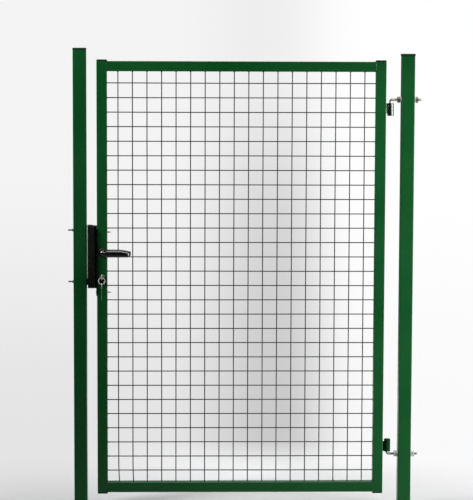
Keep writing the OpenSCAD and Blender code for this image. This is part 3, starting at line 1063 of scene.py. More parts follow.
@dataclass
class LeafFrame:
    """The leaf's tubes, their caps and the welds in the corners.

    Attributes:
        cap_inset: How far the stile caps stand back from the tube's faces.
        cap_corner: Radius of their upright corners.
        bead_gap: How far a bead's line stands off the stile and inside the rail's level faces.
        bead_depth: How far it lies under the rail's front and back.
        bead_inset: How far it stops short of the rail's edges.
        bead: The weld in the corners.
    """

    cap_inset: float = 0.3 * MM
    cap_corner: float = 2.6 * MM
    bead_gap: float = 0.2 * MM
    bead_depth: float = 0.7 * MM
    bead_inset: float = 2.5 * MM
    bead: WeldBead = field(default_factory=WeldBead)

    def build(self) -> None:
        """Dress the tubes, cap the stiles and weld the corners."""
        dress_nodes(GREEN_PAINT, "latch_stile", "hinge_stile", "top_rail", "bottom_rail")
        for stile in ("latch_stile", "hinge_stile"):
            self.cap(stile)
        self.weld_corners()

    def cap(self, stile: str) -> None:
        """Cap a stile at its top and its foot.

        Args:
            stile: The stile's node.
        """
        tube, old = Box.of(stile), Box.of(stile + "_caps")
        cover = old.high.z - tube.high.z
        cap = TubeCap(cover, corner=self.cap_corner).shape(tube.size.x - 2 * self.cap_inset)
        centre = tube.centre
        top = Matrix.Translation((centre.x, centre.y, tube.high.z))
        foot = Matrix.Translation((centre.x, centre.y, tube.low.z)) @ Matrix.Rotation(pi, 4, "X")
        Shape().add(cap, top).add(cap, foot).piece(
            stile + "_caps_moulded", Body.LEAF, CAP_PLASTIC, [stile + "_caps"])

    def weld_corners(self) -> None:
        """Run a bead round both ends of both rails."""
        welds = Shape()
        for rail in ("top_rail", "bottom_rail"):
            box = Box.of(rail)
            for x, inward in ((box.low.x, 1), (box.high.x, -1)):
                for run in self.around(box, x + inward * self.bead_gap):
                    welds.add(self.bead.run(*run))
        welds.piece("frame_welds", Body.LEAF, GREEN_PAINT)

    def around(self, box: Box, x: float) -> list[tuple[Vector, Vector]]:
        """The four runs of a bead round a rail's end, just under its faces.

        Args:
            box: The rail's box.
            x: Where the end is.
        Returns:
            The start and the end of each run.
        """
        y, inset = box.high.y - self.bead_depth, self.bead_inset
        low, high = box.low.z + self.bead_gap, box.high.z - self.bead_gap
        runs = [((x, side * y, low + inset), (x, side * y, high - inset)) for side in (-1, 1)]
        runs += [((x, -y + inset, z), (x, y - inset, z)) for z in (low, high)]
        return [(Vector(a), Vector(b)) for a, b in runs]


@dataclass
class MeshPanel:
    """The welded mesh: upright wires in front of level ones, fused where they cross.

    Attributes:
        uprights: Number of upright wires.
        levels: Number of level wires.
        pitch: Distance from wire to wire.
        bite: How far the two layers bite into each other.
        wave: How far a wire strays from straight.
        wave_depth: Share of that by which it strays to the front and back.
        film: Thickness of the paint on a wire.
        nugget: Radius of the weld at a crossing, and its share along Y, in wire radii.
        blob: Radius of the weld at a wire's end, in wire radii.
        leaning: Shift of an upright's foot, by its number from the latch side.
        bend_height: How far above its foot a leaning upright starts to lean.
    """

    uprights: int = 18
    levels: int = 28
    pitch: float = 50 * MM
    bite: float = 0.4 * MM
    wave: float = 0.35 * MM
    wave_depth: float = 0.3
    film: float = 0.15 * MM
    nugget: tuple[float, float] = (1.25, 0.8)
    blob: float = 1.7
    leaning: dict[int, float] = field(default_factory=lambda: {0: 2.4 * MM, 1: 1.9 * MM})
    bend_height: float = 70 * MM
    chance: random.Random = field(default_factory=lambda: random.Random(21))

    def __post_init__(self) -> None:
        """Read the panel's place and the wires' radius from the frame."""
        self.box = Box.of("mesh_lower", "mesh_upper")
        self.gauge = (self.box.size.y + self.bite) / 4
        self.first_x = self.box.centre.x - (self.uprights - 1) * self.pitch / 2
        self.first_z = self.box.centre.z - (self.levels - 1) * self.pitch / 2
        self.front_y = self.box.low.y + self.gauge
        self.back_y = self.box.high.y - self.gauge

    def build(self) -> None:
        """Make all wires and their welds as one piece."""
        panel = Shape()
        for i in range(self.uprights):
            self.add_upright(panel, i)
        for k in range(self.levels):
            self.add_level(panel, k)
        self.add_welds(panel)
        panel.piece("welded_mesh", Body.LEAF, MESH_WIRE, ["mesh_lower", "mesh_upper"], crease=60)

    def lean(self, index: int, z: float) -> float:
        """How far an upright stands off its line at a height."""
        t = max(0.0, 1.0 - (z - self.box.low.z) / self.bend_height)
        return self.leaning.get(index, 0.0) * t * t

    def wire(self, length: float, cuts: int) -> Shape:
        """A straight wire along +Z, centred, with rings in it for its waves.

        Args:
            length: Its length.
            cuts: Number of rings.
        Returns:
            The wire.
        """
        made, radius = Shape(), self.gauge + self.film
        bmesh.ops.create_cone(made.bm, cap_ends=True, segments=10, radius1=radius,
                              radius2=radius, depth=length)
        long_edges = [edge for edge in made.bm.edges if edge.calc_length() > length / 2]
        bmesh.ops.subdivide_edges(made.bm, edges=long_edges, cuts=cuts, use_grid_fill=True)
        return made

    def stray(self) -> Callable[[float], float]:
        """A gentle wave along a wire, with its own phase and size.

        Returns:
            How far the wire strays at a place along it.
        """
        phase, size = self.chance.uniform(0, 2 * pi), self.chance.uniform(0.3, 1.0) * self.wave
        waves = self.chance.uniform(2.5, 6.0)
        return lambda along: size * sin(waves * along + phase)

    def add_upright(self, panel: Shape, index: int) -> None:
        """Add one upright wire.

        Args:
            panel: The mesh so far.
            index: The wire's number from the latch side.
        """
        wire = self.wire(self.box.size.z, self.levels)
        side, depth = self.stray(), self.stray()
        x, z = self.first_x + index * self.pitch, self.box.centre.z
        for vert in wire.bm.verts:
            height = vert.co.z + z
            vert.co += Vector((x + side(height) + self.lean(index, height),
                               self.front_y + self.wave_depth * depth(height), z))
        panel.add(wire)

    def add_level(self, panel: Shape, index: int) -> None:
        """Add one level wire.

        Args:
            panel: The mesh so far.
            index: The wire's number from below.
        """
        wire = self.wire(self.box.size.x, self.uprights)
        up, depth = self.stray(), self.stray()
        wire.moved(Axis.X.at(Vector((self.box.centre.x, self.back_y,
                                     self.first_z + index * self.pitch))))
        for vert in wire.bm.verts:
            vert.co += Vector((0.0, self.wave_depth * depth(vert.co.x), up(vert.co.x)))
        panel.add(wire)

    def add_welds(self, panel: Shape) -> None:
        """Add a nugget at each crossing, and a blob at each wire's ends.

        Args:
            panel: The mesh so far.
        """
        nugget = Shape.pellet(self.nugget[0] * self.gauge, self.nugget[1])
        blob = Shape.pellet(self.blob * self.gauge)
        middle = (self.front_y + self.back_y) / 2
        xs = [self.first_x + i * self.pitch for i in range(self.uprights)]
        zs = [self.first_z + k * self.pitch for k in range(self.levels)]
        panel.add_many(nugget, [Matrix.Translation((x + self.lean(i, z), middle, z))
                                for i, x in enumerate(xs) for z in zs])
        low, high = self.box.low, self.box.high
        panel.add_many(blob, [Matrix.Translation((x + self.lean(i, z), self.front_y, z))
                              for i, x in enumerate(xs) for z in (low.z, high.z)])
        panel.add_many(blob, [Matrix.Translation((x, self.back_y, z))
                              for x in (low.x, high.x) for z in zs])


@dataclass
class HookHinge:
    """A hook bolt through the hinge post, and the eye on the leaf that turns on its pin.

    Attributes:
        level: Which of the two hinges it is.
        points_up: Whether the hook's pin points up.
        pitch: Pitch of the hook's thread.
        bend: Radius of the line that the rod follows round its bend.
        plain: Length of the shank that has no thread, past the bend.
        pin_end: Length and share of the thickness of the pin's tapered end.
        core: Share of the rod's thickness that is left inside the thread.
        twists: How the two nuts are turned, in degrees.
        play: Between the rod and the barrel; a washer has twice as much.
        lip: Chamfer of a washer.
        spring_width: How far a spring washer stands out from the rod.
        chamfer: Chamfer of the barrel.
        lug: Thickness and height of the lug.
        lug_near: From the barrel's end at the hook to the lug.
        eye_finish: The eye's finish.
        nut_finish: The nuts' finish.
        hook_finish: The hook bolt's finish.
        bead: The weld that holds the eye.
    """

    level: Level
    points_up: bool
    pitch: float = 1.5 * MM
    bend: float = 6 * MM
    plain: float = 7 * MM
    pin_end: tuple[float, float] = (1.2 * MM, 0.78)
    core: float = 0.85
    twists: tuple[float, float] = (12, 4)
    play: float = 0.1 * MM
    lip: float = 0.3 * MM
    spring_width: float = 3.8 * MM
    chamfer: float = 0.8 * MM
    lug: tuple[float, float] = (8 * MM, 34.5 * MM)
    lug_near: float = 1 * MM
    eye_finish: Finish = EYE_PAINT
    nut_finish: Finish = DARK_ZINC
    hook_finish: Finish = ZINC_STEEL
    bead: WeldBead = field(default_factory=lambda: WeldBead(2.0 * MM, chance=random.Random(11)))

    def __post_init__(self) -> None:
        """Read the hinge's place from the frame."""
        self.hook = Box.of(self.named("hinge_hook"))
        self.eye = Box.of(self.named("hinge_eye"))
        self.post = Box.of("hinge_post")
        self.stile = Box.of("hinge_stile")
        self.rod = self.hook.size.y / 2
        self.axis_x = self.hook.low.x + self.rod
        self.up = 1 if self.points_up else -1
        self.rod_z = (self.hook.low.z if self.points_up else self.hook.high.z) + self.up * self.rod

    def named(self, part: str) -> str:
        """The name of one of this hinge's parts."""
        return f"{self.level.value}_{part}"

    def build(self) -> None:
        """Make the hook, what is screwed on it, and the eye."""
        self.make_hook()
        self.make_nuts()
        self.make_washers()
        self.make_eye()

    def make_hook(self) -> None:
        """The bent bolt: pin, bend, plain shank and thread."""
        up, bend = self.up, self.bend
        corner = Vector((self.axis_x + bend, 0, self.rod_z + up * bend))
        far_end = self.hook.high.z if self.points_up else self.hook.low.z
        taper, tip = self.pin_end

        def section(place: Vector, along: Vector, share: float = 1.0) -> Section:
            """A round section square to the rod's line.

            Args:
                place: Its middle.
                along: The way the rod runs there.
                share: Its share of the rod's thickness.
            Returns:
                The section.
            """
            side = Vector((0, 1, 0))
            turn = Matrix((along.cross(side), side, along)).transposed().to_4x4()
            return Section(Matrix.Translation(place) @ turn, self.rod * share, self.rod * share)

        down, outwards, steps = Vector((0, 0, -up)), Vector((1, 0, 0)), 8
        sections = [section(Vector((self.axis_x, 0, far_end)), down, tip),
                    section(Vector((self.axis_x, 0, far_end - up * taper)), down),
                    section(Vector((self.axis_x, 0, corner.z)), down)]
        for i in range(1, steps):
            angle = i / steps * pi / 2
            out = Vector((-cos(angle), 0, -up * sin(angle)))
            along = Vector((sin(angle), 0, -up * cos(angle)))
            sections.append(section(corner + out * bend, along))
        start_x = corner.x + self.plain
        for x, share in ((corner.x, 1.0), (start_x, 1.0), (start_x + MM, self.core)):
            sections.append(section(Vector((x, 0, self.rod_z)), outwards, share))
        rod = Shape.loft(sections, 28)
        thread = Shape.thread(2 * self.rod, self.pitch, self.hook.high.x - start_x)
        rod.add(thread, Axis.X.at(Vector((start_x, 0, self.rod_z))))
        rod.piece(self.named("hook_bolt"), Body.POSTS, self.hook_finish,
                  [self.named("hinge_hook")])

    def make_nuts(self) -> None:
        """The two nuts, each turned a little differently."""
        box = Box.of(self.named("hook_nuts"))
        height = box.high.x - Box.of(self.named("hook_washers")).high.x
        nut = Shape.nut(box.size.z, height, 2 * self.rod)
        pair = Shape()
        for x, twist in zip((box.low.x, box.high.x - height), self.twists):
            place = Axis.X.at(Vector((x, 0, self.rod_z)))
            pair.add(nut, place @ Matrix.Rotation(radians(90 + twist), 4, "Z"))
        pair.piece(self.named("hook_nut_pair"), Body.POSTS, self.nut_finish,
                   [self.named("hook_nuts")])

    def make_washers(self) -> None:
        """A flat washer and a split spring washer on each side of the post."""
        box = Box.of(self.named("hook_washers"))
        outer, half = box.size.z / 2, (box.high.x - self.post.high.x) / 2
        lip, bore = self.lip, self.rod + 2 * self.play
        flat = Shape.turned([(bore, 0), (outer - lip, 0), (outer, lip), (outer, half - lip),
                             (outer - lip, half), (bore, half)], 40, hollow=True)
        spring_outer, thick = self.rod + self.spring_width, half * 0.8
        spring = Shape.coil([(bore, 0), (spring_outer, 0), (spring_outer, thick), (bore, thick)],
                            turns=0.96, pitch=half * 0.18, steps=40)
        pair = Shape()
        for axis, x in ((Axis.X, self.post.high.x), (Axis.MINUS_X, self.post.low.x)):
            place = axis.at(Vector((x, 0, self.rod_z)))
            pair.add(flat, place).add(spring, place @ Matrix.Translation((0, 0, half)))
        pair.piece(self.named("hook_washer_set"), Body.POSTS, ZINC_STEEL,
                   [self.named("hook_washers")])

    def make_eye(self) -> None:
        """The bored barrel, the lug on the stile and the welds between them."""
        box, chamfer = self.eye, self.chamfer
        outer, length, bore = box.size.y / 2, box.size.z, self.rod + self.play
        barrel = Shape.turned([(bore + chamfer, 0), (outer - chamfer, 0), (outer, chamfer),
                               (outer, length - chamfer), (outer - chamfer, length),
                               (bore + chamfer, length), (bore, length - chamfer),
                               (bore, chamfer)], 48, hollow=True)
        eye = Shape().add(barrel, Matrix.Translation((self.axis_x, 0, box.low.z)))
        reach = self.axis_x - bore - self.stile.high.x
        lug_t, lug_height = self.lug
        lug = Shape.block((reach, lug_t, lug_height), 0.6 * MM)
        near_end = box.low.z if self.points_up else box.high.z
        middle = Vector((self.stile.high.x + reach / 2, 0,
                         near_end + self.up * (self.lug_near + lug_height / 2)))
        eye.add(lug, Matrix.Translation(middle))
        for side in (-1, 1):
            for x, half in ((self.stile.high.x, lug_height / 2),
                            (self.axis_x - outer * 0.92, lug_height / 2 - MM)):
                foot = Vector((x, side * lug_t / 2, middle.z - half))
                eye.add(self.bead.run(foot, foot + Vector((0, 0, 2 * half))))
        eye.piece(self.named("eye_with_lug"), Body.LEAF, self.eye_finish,
                  [self.named("hinge_eye")])


@dataclass
class Keeper:
    """The keeper on the latch post: plate, housing, stop and the bolts through the post.

    Attributes:
        rounding: Radius of the housing's edges.
        stop_rounding: Radius of the stop's edges.
        plate_rounding: Radius of the plate's edges.
        foot_shade: Heights over the plate's foot between which its painted shade fades out.
        head: Height of a bolt's head.
        shank: Radius of a bolt's shank.
        grip: How far inside the post's outer face the threads start.
        socket: Across the flats of the bolts' hexagon sockets.
        socket_depth: Depth of the sockets.
        pitch: Pitch of the bolts.
        twists: How the two nuts are turned, in degrees.
    """

    rounding: float = 1.3 * MM
    stop_rounding: float = 0.8 * MM
    plate_rounding: float = 0.5 * MM
    foot_shade: tuple[float, float] = (20 * MM, 30 * MM)
    head: float = 6 * MM
    shank: float = 3 * MM
    grip: float = 6 * MM
    socket: float = 5 * MM
    socket_depth: float = 3.5 * MM
    pitch: float = 1.0 * MM
    twists: tuple[float, float] = (8, 25)

    def build(self) -> None:
        """Make the keeper's parts."""
        foot = Box.of("strike_plate").low.z
        # Painted shade darkens the strike plate towards its foot.
        zinc = replace(ZINC_PLATE, painted_shade_between=(foot + self.foot_shade[0], foot + self.foot_shade[1]))
        Shape.of_nodes("strike_plate").round_corners(self.plate_rounding).piece(
            "strike_plate_zinc", Body.POSTS, zinc, ["strike_plate"])
        for node, rounding in (("keeper_housing", self.rounding),
                               ("keeper_stop", self.stop_rounding)):
            Shape.of_nodes(node).round_corners(rounding, 3).piece(
                node + "_moulded", Body.POSTS, BLACK_PLASTIC, [node])
        self.make_bolts()
        self.make_nuts()

    def bolt_heights(self) -> tuple[float, float]:
        """Heights of the two bolts.

        Returns:
            The lower and the upper one.
        """
        box = Box.of("keeper_bolts")
        head = box.size.y / 2
        return box.low.z + head, box.high.z - head

    def make_bolts(self) -> None:
        """Socket-head bolts with their threads out past the post."""
        box, post = Box.of("keeper_bolts"), Box.of("latch_post")
        head, shank, chamfer = box.size.y / 2, self.shank, 0.5 * MM
        grip_x = post.low.x + self.grip
        length = box.high.x - grip_x
        bolt = Shape.turned([(0, 0), (head - chamfer, 0), (head, chamfer), (head, self.head),
                             (shank, self.head), (shank, length), (0, length)], 32)
        hexagon, corner = Shape(), self.socket / 2 / cos(pi / 6)
        bmesh.ops.create_cone(hexagon.bm, cap_ends=True, segments=6, radius1=corner,
                              radius2=corner, depth=2 * self.socket_depth)
        bolt.cut(hexagon)
        thread = Shape.thread(2 * shank, self.pitch, grip_x - box.low.x)
        pair = Shape()
        for z in self.bolt_heights():
            pair.add(bolt, Axis.MINUS_X.at(Vector((box.high.x, 0, z))))
            pair.add(thread, Axis.MINUS_X.at(Vector((grip_x, 0, z))))
        pair.piece("keeper_bolt_pair", Body.POSTS, DARK_ZINC, ["keeper_bolts"])

    def make_nuts(self) -> None:
        """The nuts on the far side of the post."""
        box = Box.of("keeper_nuts")
        nut = Shape.nut(box.size.y * cos(pi / 6), box.size.x, 2 * self.shank)
        pair = Shape()
        for z, twist in zip(self.bolt_heights(), self.twists):
            pair.add(nut, Axis.X.at(Vector((box.low.x, 0, z))) @ Matrix.Rotation(
                radians(twist), 4, "Z"))
        pair.piece("keeper_nut_pair", Body.POSTS, DARK_ZINC, ["keeper_nuts"])


@dataclass
class Lock:
    """The lock in the latch stile: forend, noses, screws, roses and cylinder.

    Attributes:
        plug: Radius of the cylinder's turning plug.
        keyway: Width and height of the slot in the plug.
        forend_edge: Radius of the forend's edges.
        nose_edge: Radius of the latch's and the bolt's edges.
        rose_bore: Radius of a rose's bore.
        rose_lip: Chamfer at its outer end.
        rose_dome: Steps of a rose's dome: how far in from its rim, and the share of its depth.
        screw_shank: Radius of the long screws.
        screw_pitch: Their pitch.
        screw_thread: How far their threads come out of the stile.
        recess: Lengths of the two bars of the cross in their heads, and its depth.
        point: Radius of their points, first and last, and where the step is.
    """

    plug: float = 6.4 * MM
    keyway: tuple[float, float] = (2.4 * MM, 8.4 * MM)
    forend_edge: float = 0.4 * MM
    nose_edge: float = 0.6 * MM
    rose_bore: float = 9.5 * MM
    rose_lip: float = 0.4 * MM
    rose_dome: Profile = ((0.0, 0.35), (0.35 * MM, 0.6), (1.3 * MM, 0.85), (2.8 * MM, 1.0))
    screw_shank: float = 2.5 * MM
    screw_pitch: float = 0.8 * MM
    screw_thread: float = 6.5 * MM
    recess: Triple = (5.5 * MM, 1.1 * MM, 2.4 * MM)
    point: Triple = (1.7 * MM, 0.9 * MM, 4.5 * MM)

    def build(self) -> None:
        """Make the lock's parts."""
        dress_nodes(ZINC_STEEL, "lock_case")
        Shape.of_nodes("lock_forend").round_corners(self.forend_edge).piece(
            "lock_forend_plate", Body.LEAF, BLACK_STEEL, ["lock_forend"])
        Shape.of_nodes("lock_bolts").round_corners(self.nose_edge, 3).piece(
            "lock_bolt_noses", Body.LEAF, NICKEL, ["lock_bolts"])
        self.make_screws()
        self.make_roses()
        self.make_cylinder()

    def make_screws(self) -> None:
        """Cross-recessed screws whose pointed ends come out of the stile."""
        box, stile = Box.of("lock_screws"), Box.of("latch_stile")
        head, shank = box.size.y / 2, self.screw_shank
        head_t = Box.of("lock_forend").low.x - box.low.x
        screw = Shape.turned([(0, 0), (head * 0.55, 0.1 * head_t), (head * 0.88, 0.45 * head_t),
                              (head, head_t), (shank, head_t), (shank, stile.size.x),
                              (0, stile.size.x)], 32)
        long, short, deep = self.recess
        for size in ((long, short, deep), (short, long, deep)):
            screw.cut(Shape.block(size, 0.1 * MM, 1))
        start = box.low.x + stile.size.x
        end = stile.high.x + self.screw_thread
        thread = Shape.thread(2 * shank, self.screw_pitch, end - start)
        thick, thin, step = self.point
        point = Shape.turned([(0, -2 * MM), (thick, -2 * MM), (thick, step),
                              (thin, box.high.x - end), (0, box.high.x - end)], 20)
        pair = Shape()
        for z in (box.low.z + head, box.high.z - head):
            pair.add(screw, Axis.X.at(Vector((box.low.x, 0, z))))
            pair.add(thread, Axis.X.at(Vector((start, 0, z))))
            pair.add(point, Axis.X.at(Vector((end, 0, z))))
        pair.piece("lock_screw_pair", Body.LEAF, DARK_ZINC, ["lock_screws"])

    def make_roses(self) -> None:
        """The domed collars that the levers turn in."""
        for side, axis in (("front", Axis.MINUS_Y), ("back", Axis.Y)):
            box = Box.of(side + "_rose")
            outer, depth, bore = box.size.z / 2, box.size.y, self.rose_bore
            dome = [(outer - inset, share * depth) for inset, share in self.rose_dome]
            rose = Shape.turned([(bore, 0), (outer, 0), *dome, (bore + self.rose_lip, depth),
                                 (bore, depth - self.rose_lip)], 48, hollow=True)
            wall = box.high.y if side == "front" else box.low.y
            rose.moved(axis.at(Vector((box.centre.x, wall, box.centre.z))))
            rose.piece(side + "_rose_domed", Body.LEAF, ROSE_BLACK, [side + "_rose"])

    def make_cylinder(self) -> None:
        """The profile cylinder with a plug at each end."""
        box = Box.of("lock_cylinder")
        round_part = Vector((box.centre.x, 0, box.high.z - box.size.x / 2))
        made = Shape.of_nodes("lock_cylinder").round_corners(0.3 * MM)
        lip, face = 0.3 * MM, 0.6 * MM
        plug = Shape.turned([(0, -2 * MM), (self.plug, -2 * MM), (self.plug, lip),
                             (self.plug - lip, face), (0, face)], 36)
        plug.cut(Shape.block((*self.keyway, 8 * MM), 0.1 * MM, 1))
        for axis, y in ((Axis.MINUS_Y, box.low.y), (Axis.Y, box.high.y)):
            made.add(plug, axis.at(Vector((round_part.x, y, round_part.z))))
        foot = round_part.z - box.size.x / 2
        # A darker copy of the nickel; below the round part it turns near black: painted shade under
        # the key and ring.
        finish = replace(NICKEL, variant="_cylinder", colour=(0.50, 0.52, 0.46),
                         shade=(0.34, 0.36, 0.31), painted_shade_between=(foot - MM, foot + MM))
        made.piece("profile_cylinder", Body.LEAF, finish, ["lock_cylinder"])


@dataclass
class Handle:
    """The pair of levers on one square spindle.

    Attributes:
        neck: Radius of the neck that comes out of the rose.
        collar: Length of the neck's straight end before the elbow.
        blade: Thickness and height of the blade.
        thinning: Share of its thickness that the blade loses towards the tip.
        drop: How far the blade's middle hangs below the spindle.
        sag: How much lower the back lever's blade hangs.
        bend: Radius of the line that the lever follows round its elbow.
        level_part: Share of the length over which the blade's top is level.
        fall: How far its top falls from there to the tip.
        tip: Length of the slanted tip.
        rounded: Sections of the tip, as shares of its length, thickness and height.
        waist: Share of its size to which the lever narrows after the elbow.
        shoulder: Length over which it swells from there.
        swelling: Sections of the shoulder, as shares of its length.
        squareness: Power of the blade's section: 2 is an ellipse.
        crease: Angle in degrees above which its edges stay sharp.
    """

    neck: float = 9 * MM
    collar: float = 3 * MM
    blade: tuple[float, float] = (12 * MM, 22 * MM)
    thinning: float = 0.1
    drop: float = 5.1 * MM
    sag: float = 2.5 * MM
    bend: float = 11 * MM
    level_part: float = 0.5
    fall: float = 7.5 * MM
    tip: float = 7 * MM
    rounded: tuple[Triple, ...] = ((0.12, 0.95, 0.99), (0.9, 0.6, 0.9), (0.98, 0.4, 0.75),
                                   (1.0, 0.15, 0.5))
    waist: float = 0.6
    shoulder: float = 6 * MM
    swelling: tuple[float, ...] = (0.06, 0.18, 0.36, 0.62, 1.0)
    squareness: float = 3.0
    crease: float = 50.0

    def build(self) -> None:
        """Make both levers."""
        dress_nodes(ZINC_STEEL, "lever_spindle")
        lever = self.lever(Box.of("front_lever"))
        lever.piece("front_lever_smooth", Body.HANDLE, LEVER_BLACK, ["front_lever"], self.crease)
        lower = replace(self, drop=self.drop + self.sag)
        back = lower.lever(Box.of("front_lever")).moved(Matrix.Scale(-1, 4, (0, 1, 0)))
        back.piece("back_lever_smooth", Body.HANDLE, LEVER_BLACK, ["back_lever"], self.crease)

    def lever(self, box: Box) -> Shape:
        """A front lever: out of the rose towards -Y, round the elbow and along +X.

        Args:
            box: The CAD lever's box.
        Returns:
            The lever, in place.
        """
        spindle = Box.of("lever_spindle").centre
        thick, high = self.blade[0] / 2, self.blade[1] / 2
        turn_y = box.low.y + thick + self.bend
        sections = [self.section(Vector((spindle.x, y, spindle.z)), 0.0, self.neck, self.neck)
                    for y in (box.high.y, turn_y + self.collar)]
        steps = 10
        for i in range(steps + 1):
            t = i / steps
            angle, ease = t * pi / 2, t * t * (3 - 2 * t)
            place = Vector((spindle.x + self.bend * (1 - cos(angle)),
                            turn_y - self.bend * sin(angle), spindle.z - self.drop * ease))
            slim = 1 - (1 - self.waist) * ease
            sections.append(self.section(place, angle, (self.neck + (thick - self.neck) * t) * slim,
                                         (self.neck + (high - self.neck) * ease) * slim,
                                         2.0 + (self.squareness - 2.0) * t))
        return Shape.loft(sections + self.blade_sections(box, spindle), 36)

    def blade_sections(self, box: Box, spindle: Vector) -> list[Section]:
        """The sections of the blade, from the elbow to the rounded tip.

        Args:
            box: The CAD lever's box.
            spindle: The spindle's middle.
        Returns:
            The sections in order.
        """
        sections, steps = [], 14
        start, end = spindle.x + self.bend, box.high.x - self.tip
        level, half = spindle.z - self.drop, self.blade[0] / 2
        swell = [self.shoulder * part for part in self.swelling]
        rest = [self.shoulder + i / steps * (end - start - self.shoulder)
                for i in range(1, steps + 1)]
        for reach in swell + rest:
            share = (start + reach - spindle.x) / (box.high.x - spindle.x)
            fallen = max(0.0, (share - self.level_part) / (1 - self.level_part)) ** 2 * self.fall
            grown = min(1.0, reach / self.shoulder)
            size = self.waist + (1 - self.waist) * (1 - (1 - grown) ** 2) ** 0.5
            middle = Vector((start + reach, box.low.y + half, level - fallen / 2))
            thick = half * (1 - self.thinning * share ** 2)
            sections.append(self.section(middle, pi / 2, thick * size,
                                         (self.blade[1] - fallen) / 2 * size, self.squareness))
        last = sections[-1]
        for reach, thick, high in self.rounded:
            shift = Vector((self.tip * reach, last.half_width * (1 - thick), 0))
            sections.append(Section(Matrix.Translation(shift) @ last.place,
                                    last.half_width * thick, last.half_height * high,
                                    self.squareness))
        return sections

    @staticmethod
    def section(place: Vector, angle: float, wide: float, high: float,
                power: float = 2.0) -> Section:
        """A section of the lever.

        Args:
            place: Its middle.
            angle: How far the lever's line has turned there, from -Y towards +X.
            wide: Half its width.
            high: Half its height.
            power: How square it is: 2 is an ellipse.
        Returns:
            The section.
        """
        along = Vector((sin(angle), -cos(angle), 0))
        up = Vector((0, 0, 1))
        turn = Matrix((up.cross(along), up, along)).transposed().to_4x4()
        return Section(Matrix.Translation(place) @ turn, wide, high, power)


@dataclass
class KeyBunch:
    """The key in the cylinder, the split ring through its bow and the spare key on the ring.

    Attributes:
        thickness: Thickness of a key.
        bow: Radius of a key's bow.
        hole: Radius of the hole in the bow.
        hole_place: From the bow's middle to the hole's.
        blade: Width of a key's blade.
        groove: Width and depth of the grooves along it.
        groove_place: How far a groove lies off the blade's middle, across it and along it.
        notch: Length of a cut in the blade.
        spacing: From the key's tip to the first cut, and from cut to cut.
        bites: Depths of the cuts along the spare key's blade.
        strip: Width of the split ring's flat wire.
        wire: Its thickness.
        wire_edge: Radius of its edges.
        turns: Number of the ring's turns.
        rise: From one turn to the next.
    """

    thickness: float = 2 * MM
    bow: float = 11 * MM
    hole: float = 2.5 * MM
    hole_place: float = 5.5 * MM
    blade: float = 8 * MM
    groove: tuple[float, float] = (1.3 * MM, 0.5 * MM)
    groove_place: tuple[float, float] = (1.2 * MM, 6 * MM)
    notch: float = 2.6 * MM
    spacing: tuple[float, float] = (5 * MM, 4.2 * MM)
    bites: tuple[float, ...] = (1.2 * MM, 2.4 * MM, 1.6 * MM, 2.8 * MM, 0.9 * MM, 2.0 * MM)
    strip: float = 2.7 * MM
    wire: float = 0.92 * MM
    wire_edge: float = 0.38 * MM
    turns: float = 1.97
    rise: float = 0.98 * MM

    def build(self) -> None:
        """Make the keys and the ring."""
        key = Box.of("key")
        centre = Vector((key.centre.x, key.low.y + self.bow, key.centre.z))
        shape = self.key(key.size.y - self.bow, key.size.z, ())
        finish = replace(NICKEL, variant="_key", metal=0.4)
        shape.moved(Axis.Y.at(centre)).piece("key_in_lock", Body.LEAF, finish, ["key"])
        spare = Box.of("spare_key")
        centre = Vector((spare.centre.x, spare.centre.y, spare.high.z - self.bow))
        shape = self.key(spare.size.z - self.bow, spare.size.y, self.bites)
        shape.moved(Matrix.Translation(centre) @ Matrix.Rotation(pi, 4, "X"))
        neck = centre.z - self.bow
        # A darker copy of the key steel whose blade turns darker and greener still: painted shade.
        finish = replace(KEY_STEEL, variant="_spare", colour=(0.62, 0.64, 0.60),
                         shade=(0.50, 0.52, 0.49), painted_shade_between=(neck, neck + 8 * MM),
                         painted_shade=(0.16, 0.22, 0.17))
        shape.piece("spare_key_cut", Body.KEYS, finish, ["spare_key"])
        self.make_ring()

    def key(self, length: float, bow_span: float, bites: Sequence[float]) -> Shape:
        """A key along +Z with its bow's centre on the origin and its hole below.

        Args:
            length: From the bow's centre to the tip.
            bow_span: Width of the bow.
            bites: Depths of the cuts in the blade.
        Returns:
            The key, lying in the YZ plane.
        """
        lip, half = 0.35 * MM, self.thickness / 2
        made = Shape.turned([(0, -half), (bow_span / 2 - lip, -half), (bow_span / 2, -half + lip),
                             (bow_span / 2, half - lip), (bow_span / 2 - lip, half), (0, half)], 48)
        made.moved(Axis.X.at(Vector()))
        drill = Shape.turned([(0, -2 * half), (self.hole, -2 * half), (self.hole, 2 * half),
                              (0, 2 * half)], 28)
        made.cut(drill.moved(Axis.X.at(Vector((0, 0, -self.hole_place)))))
        blade = Shape.block((self.thickness * 0.96, self.blade, length), 0.4 * MM)
        first, pitch = self.spacing
        for i, depth in enumerate(bites):
            notch = Shape.block((2 * self.thickness, 2 * depth, self.notch), 0.5 * MM, 1)
            height = length / 2 - (first + pitch * i)
            blade.cut(notch.moved(Matrix.Translation((0, self.blade / 2, height))))
        groove = Shape.block((2 * self.groove[1], self.groove[0], length), 0.2 * MM, 1)
        across, down = self.groove_place
        for side in (-1, 1):
            place = Matrix.Translation((side * self.thickness / 2, -side * across, down))
            blade.cut(Shape().add(groove, place))
        return made.add(blade, Matrix.Translation((0, 0, length / 2)))

    def make_ring(self) -> None:
        """The split ring: two turns of flat wire pressed together."""
        box = Box.of("key_ring")
        radius = box.size.z / 2 - box.size.y / 2
        inner, outer = radius - self.strip / 2, radius + self.strip / 2
        strip = [(inner, 0), (outer, 0), (outer, self.wire), (inner, self.wire)]
        ring = Shape.coil(strip, self.turns, self.rise, 48)
        ring.round_corners(self.wire_edge, 2, 60)
        ring.moved(Axis.MINUS_Y.at(Vector((box.centre.x, box.high.y, box.centre.z))))
        ring.piece("split_ring", Body.KEYS, KEY_STEEL, ["key_ring"])


# ---------------------------------------------------------------------------
# The studio
# ---------------------------------------------------------------------------


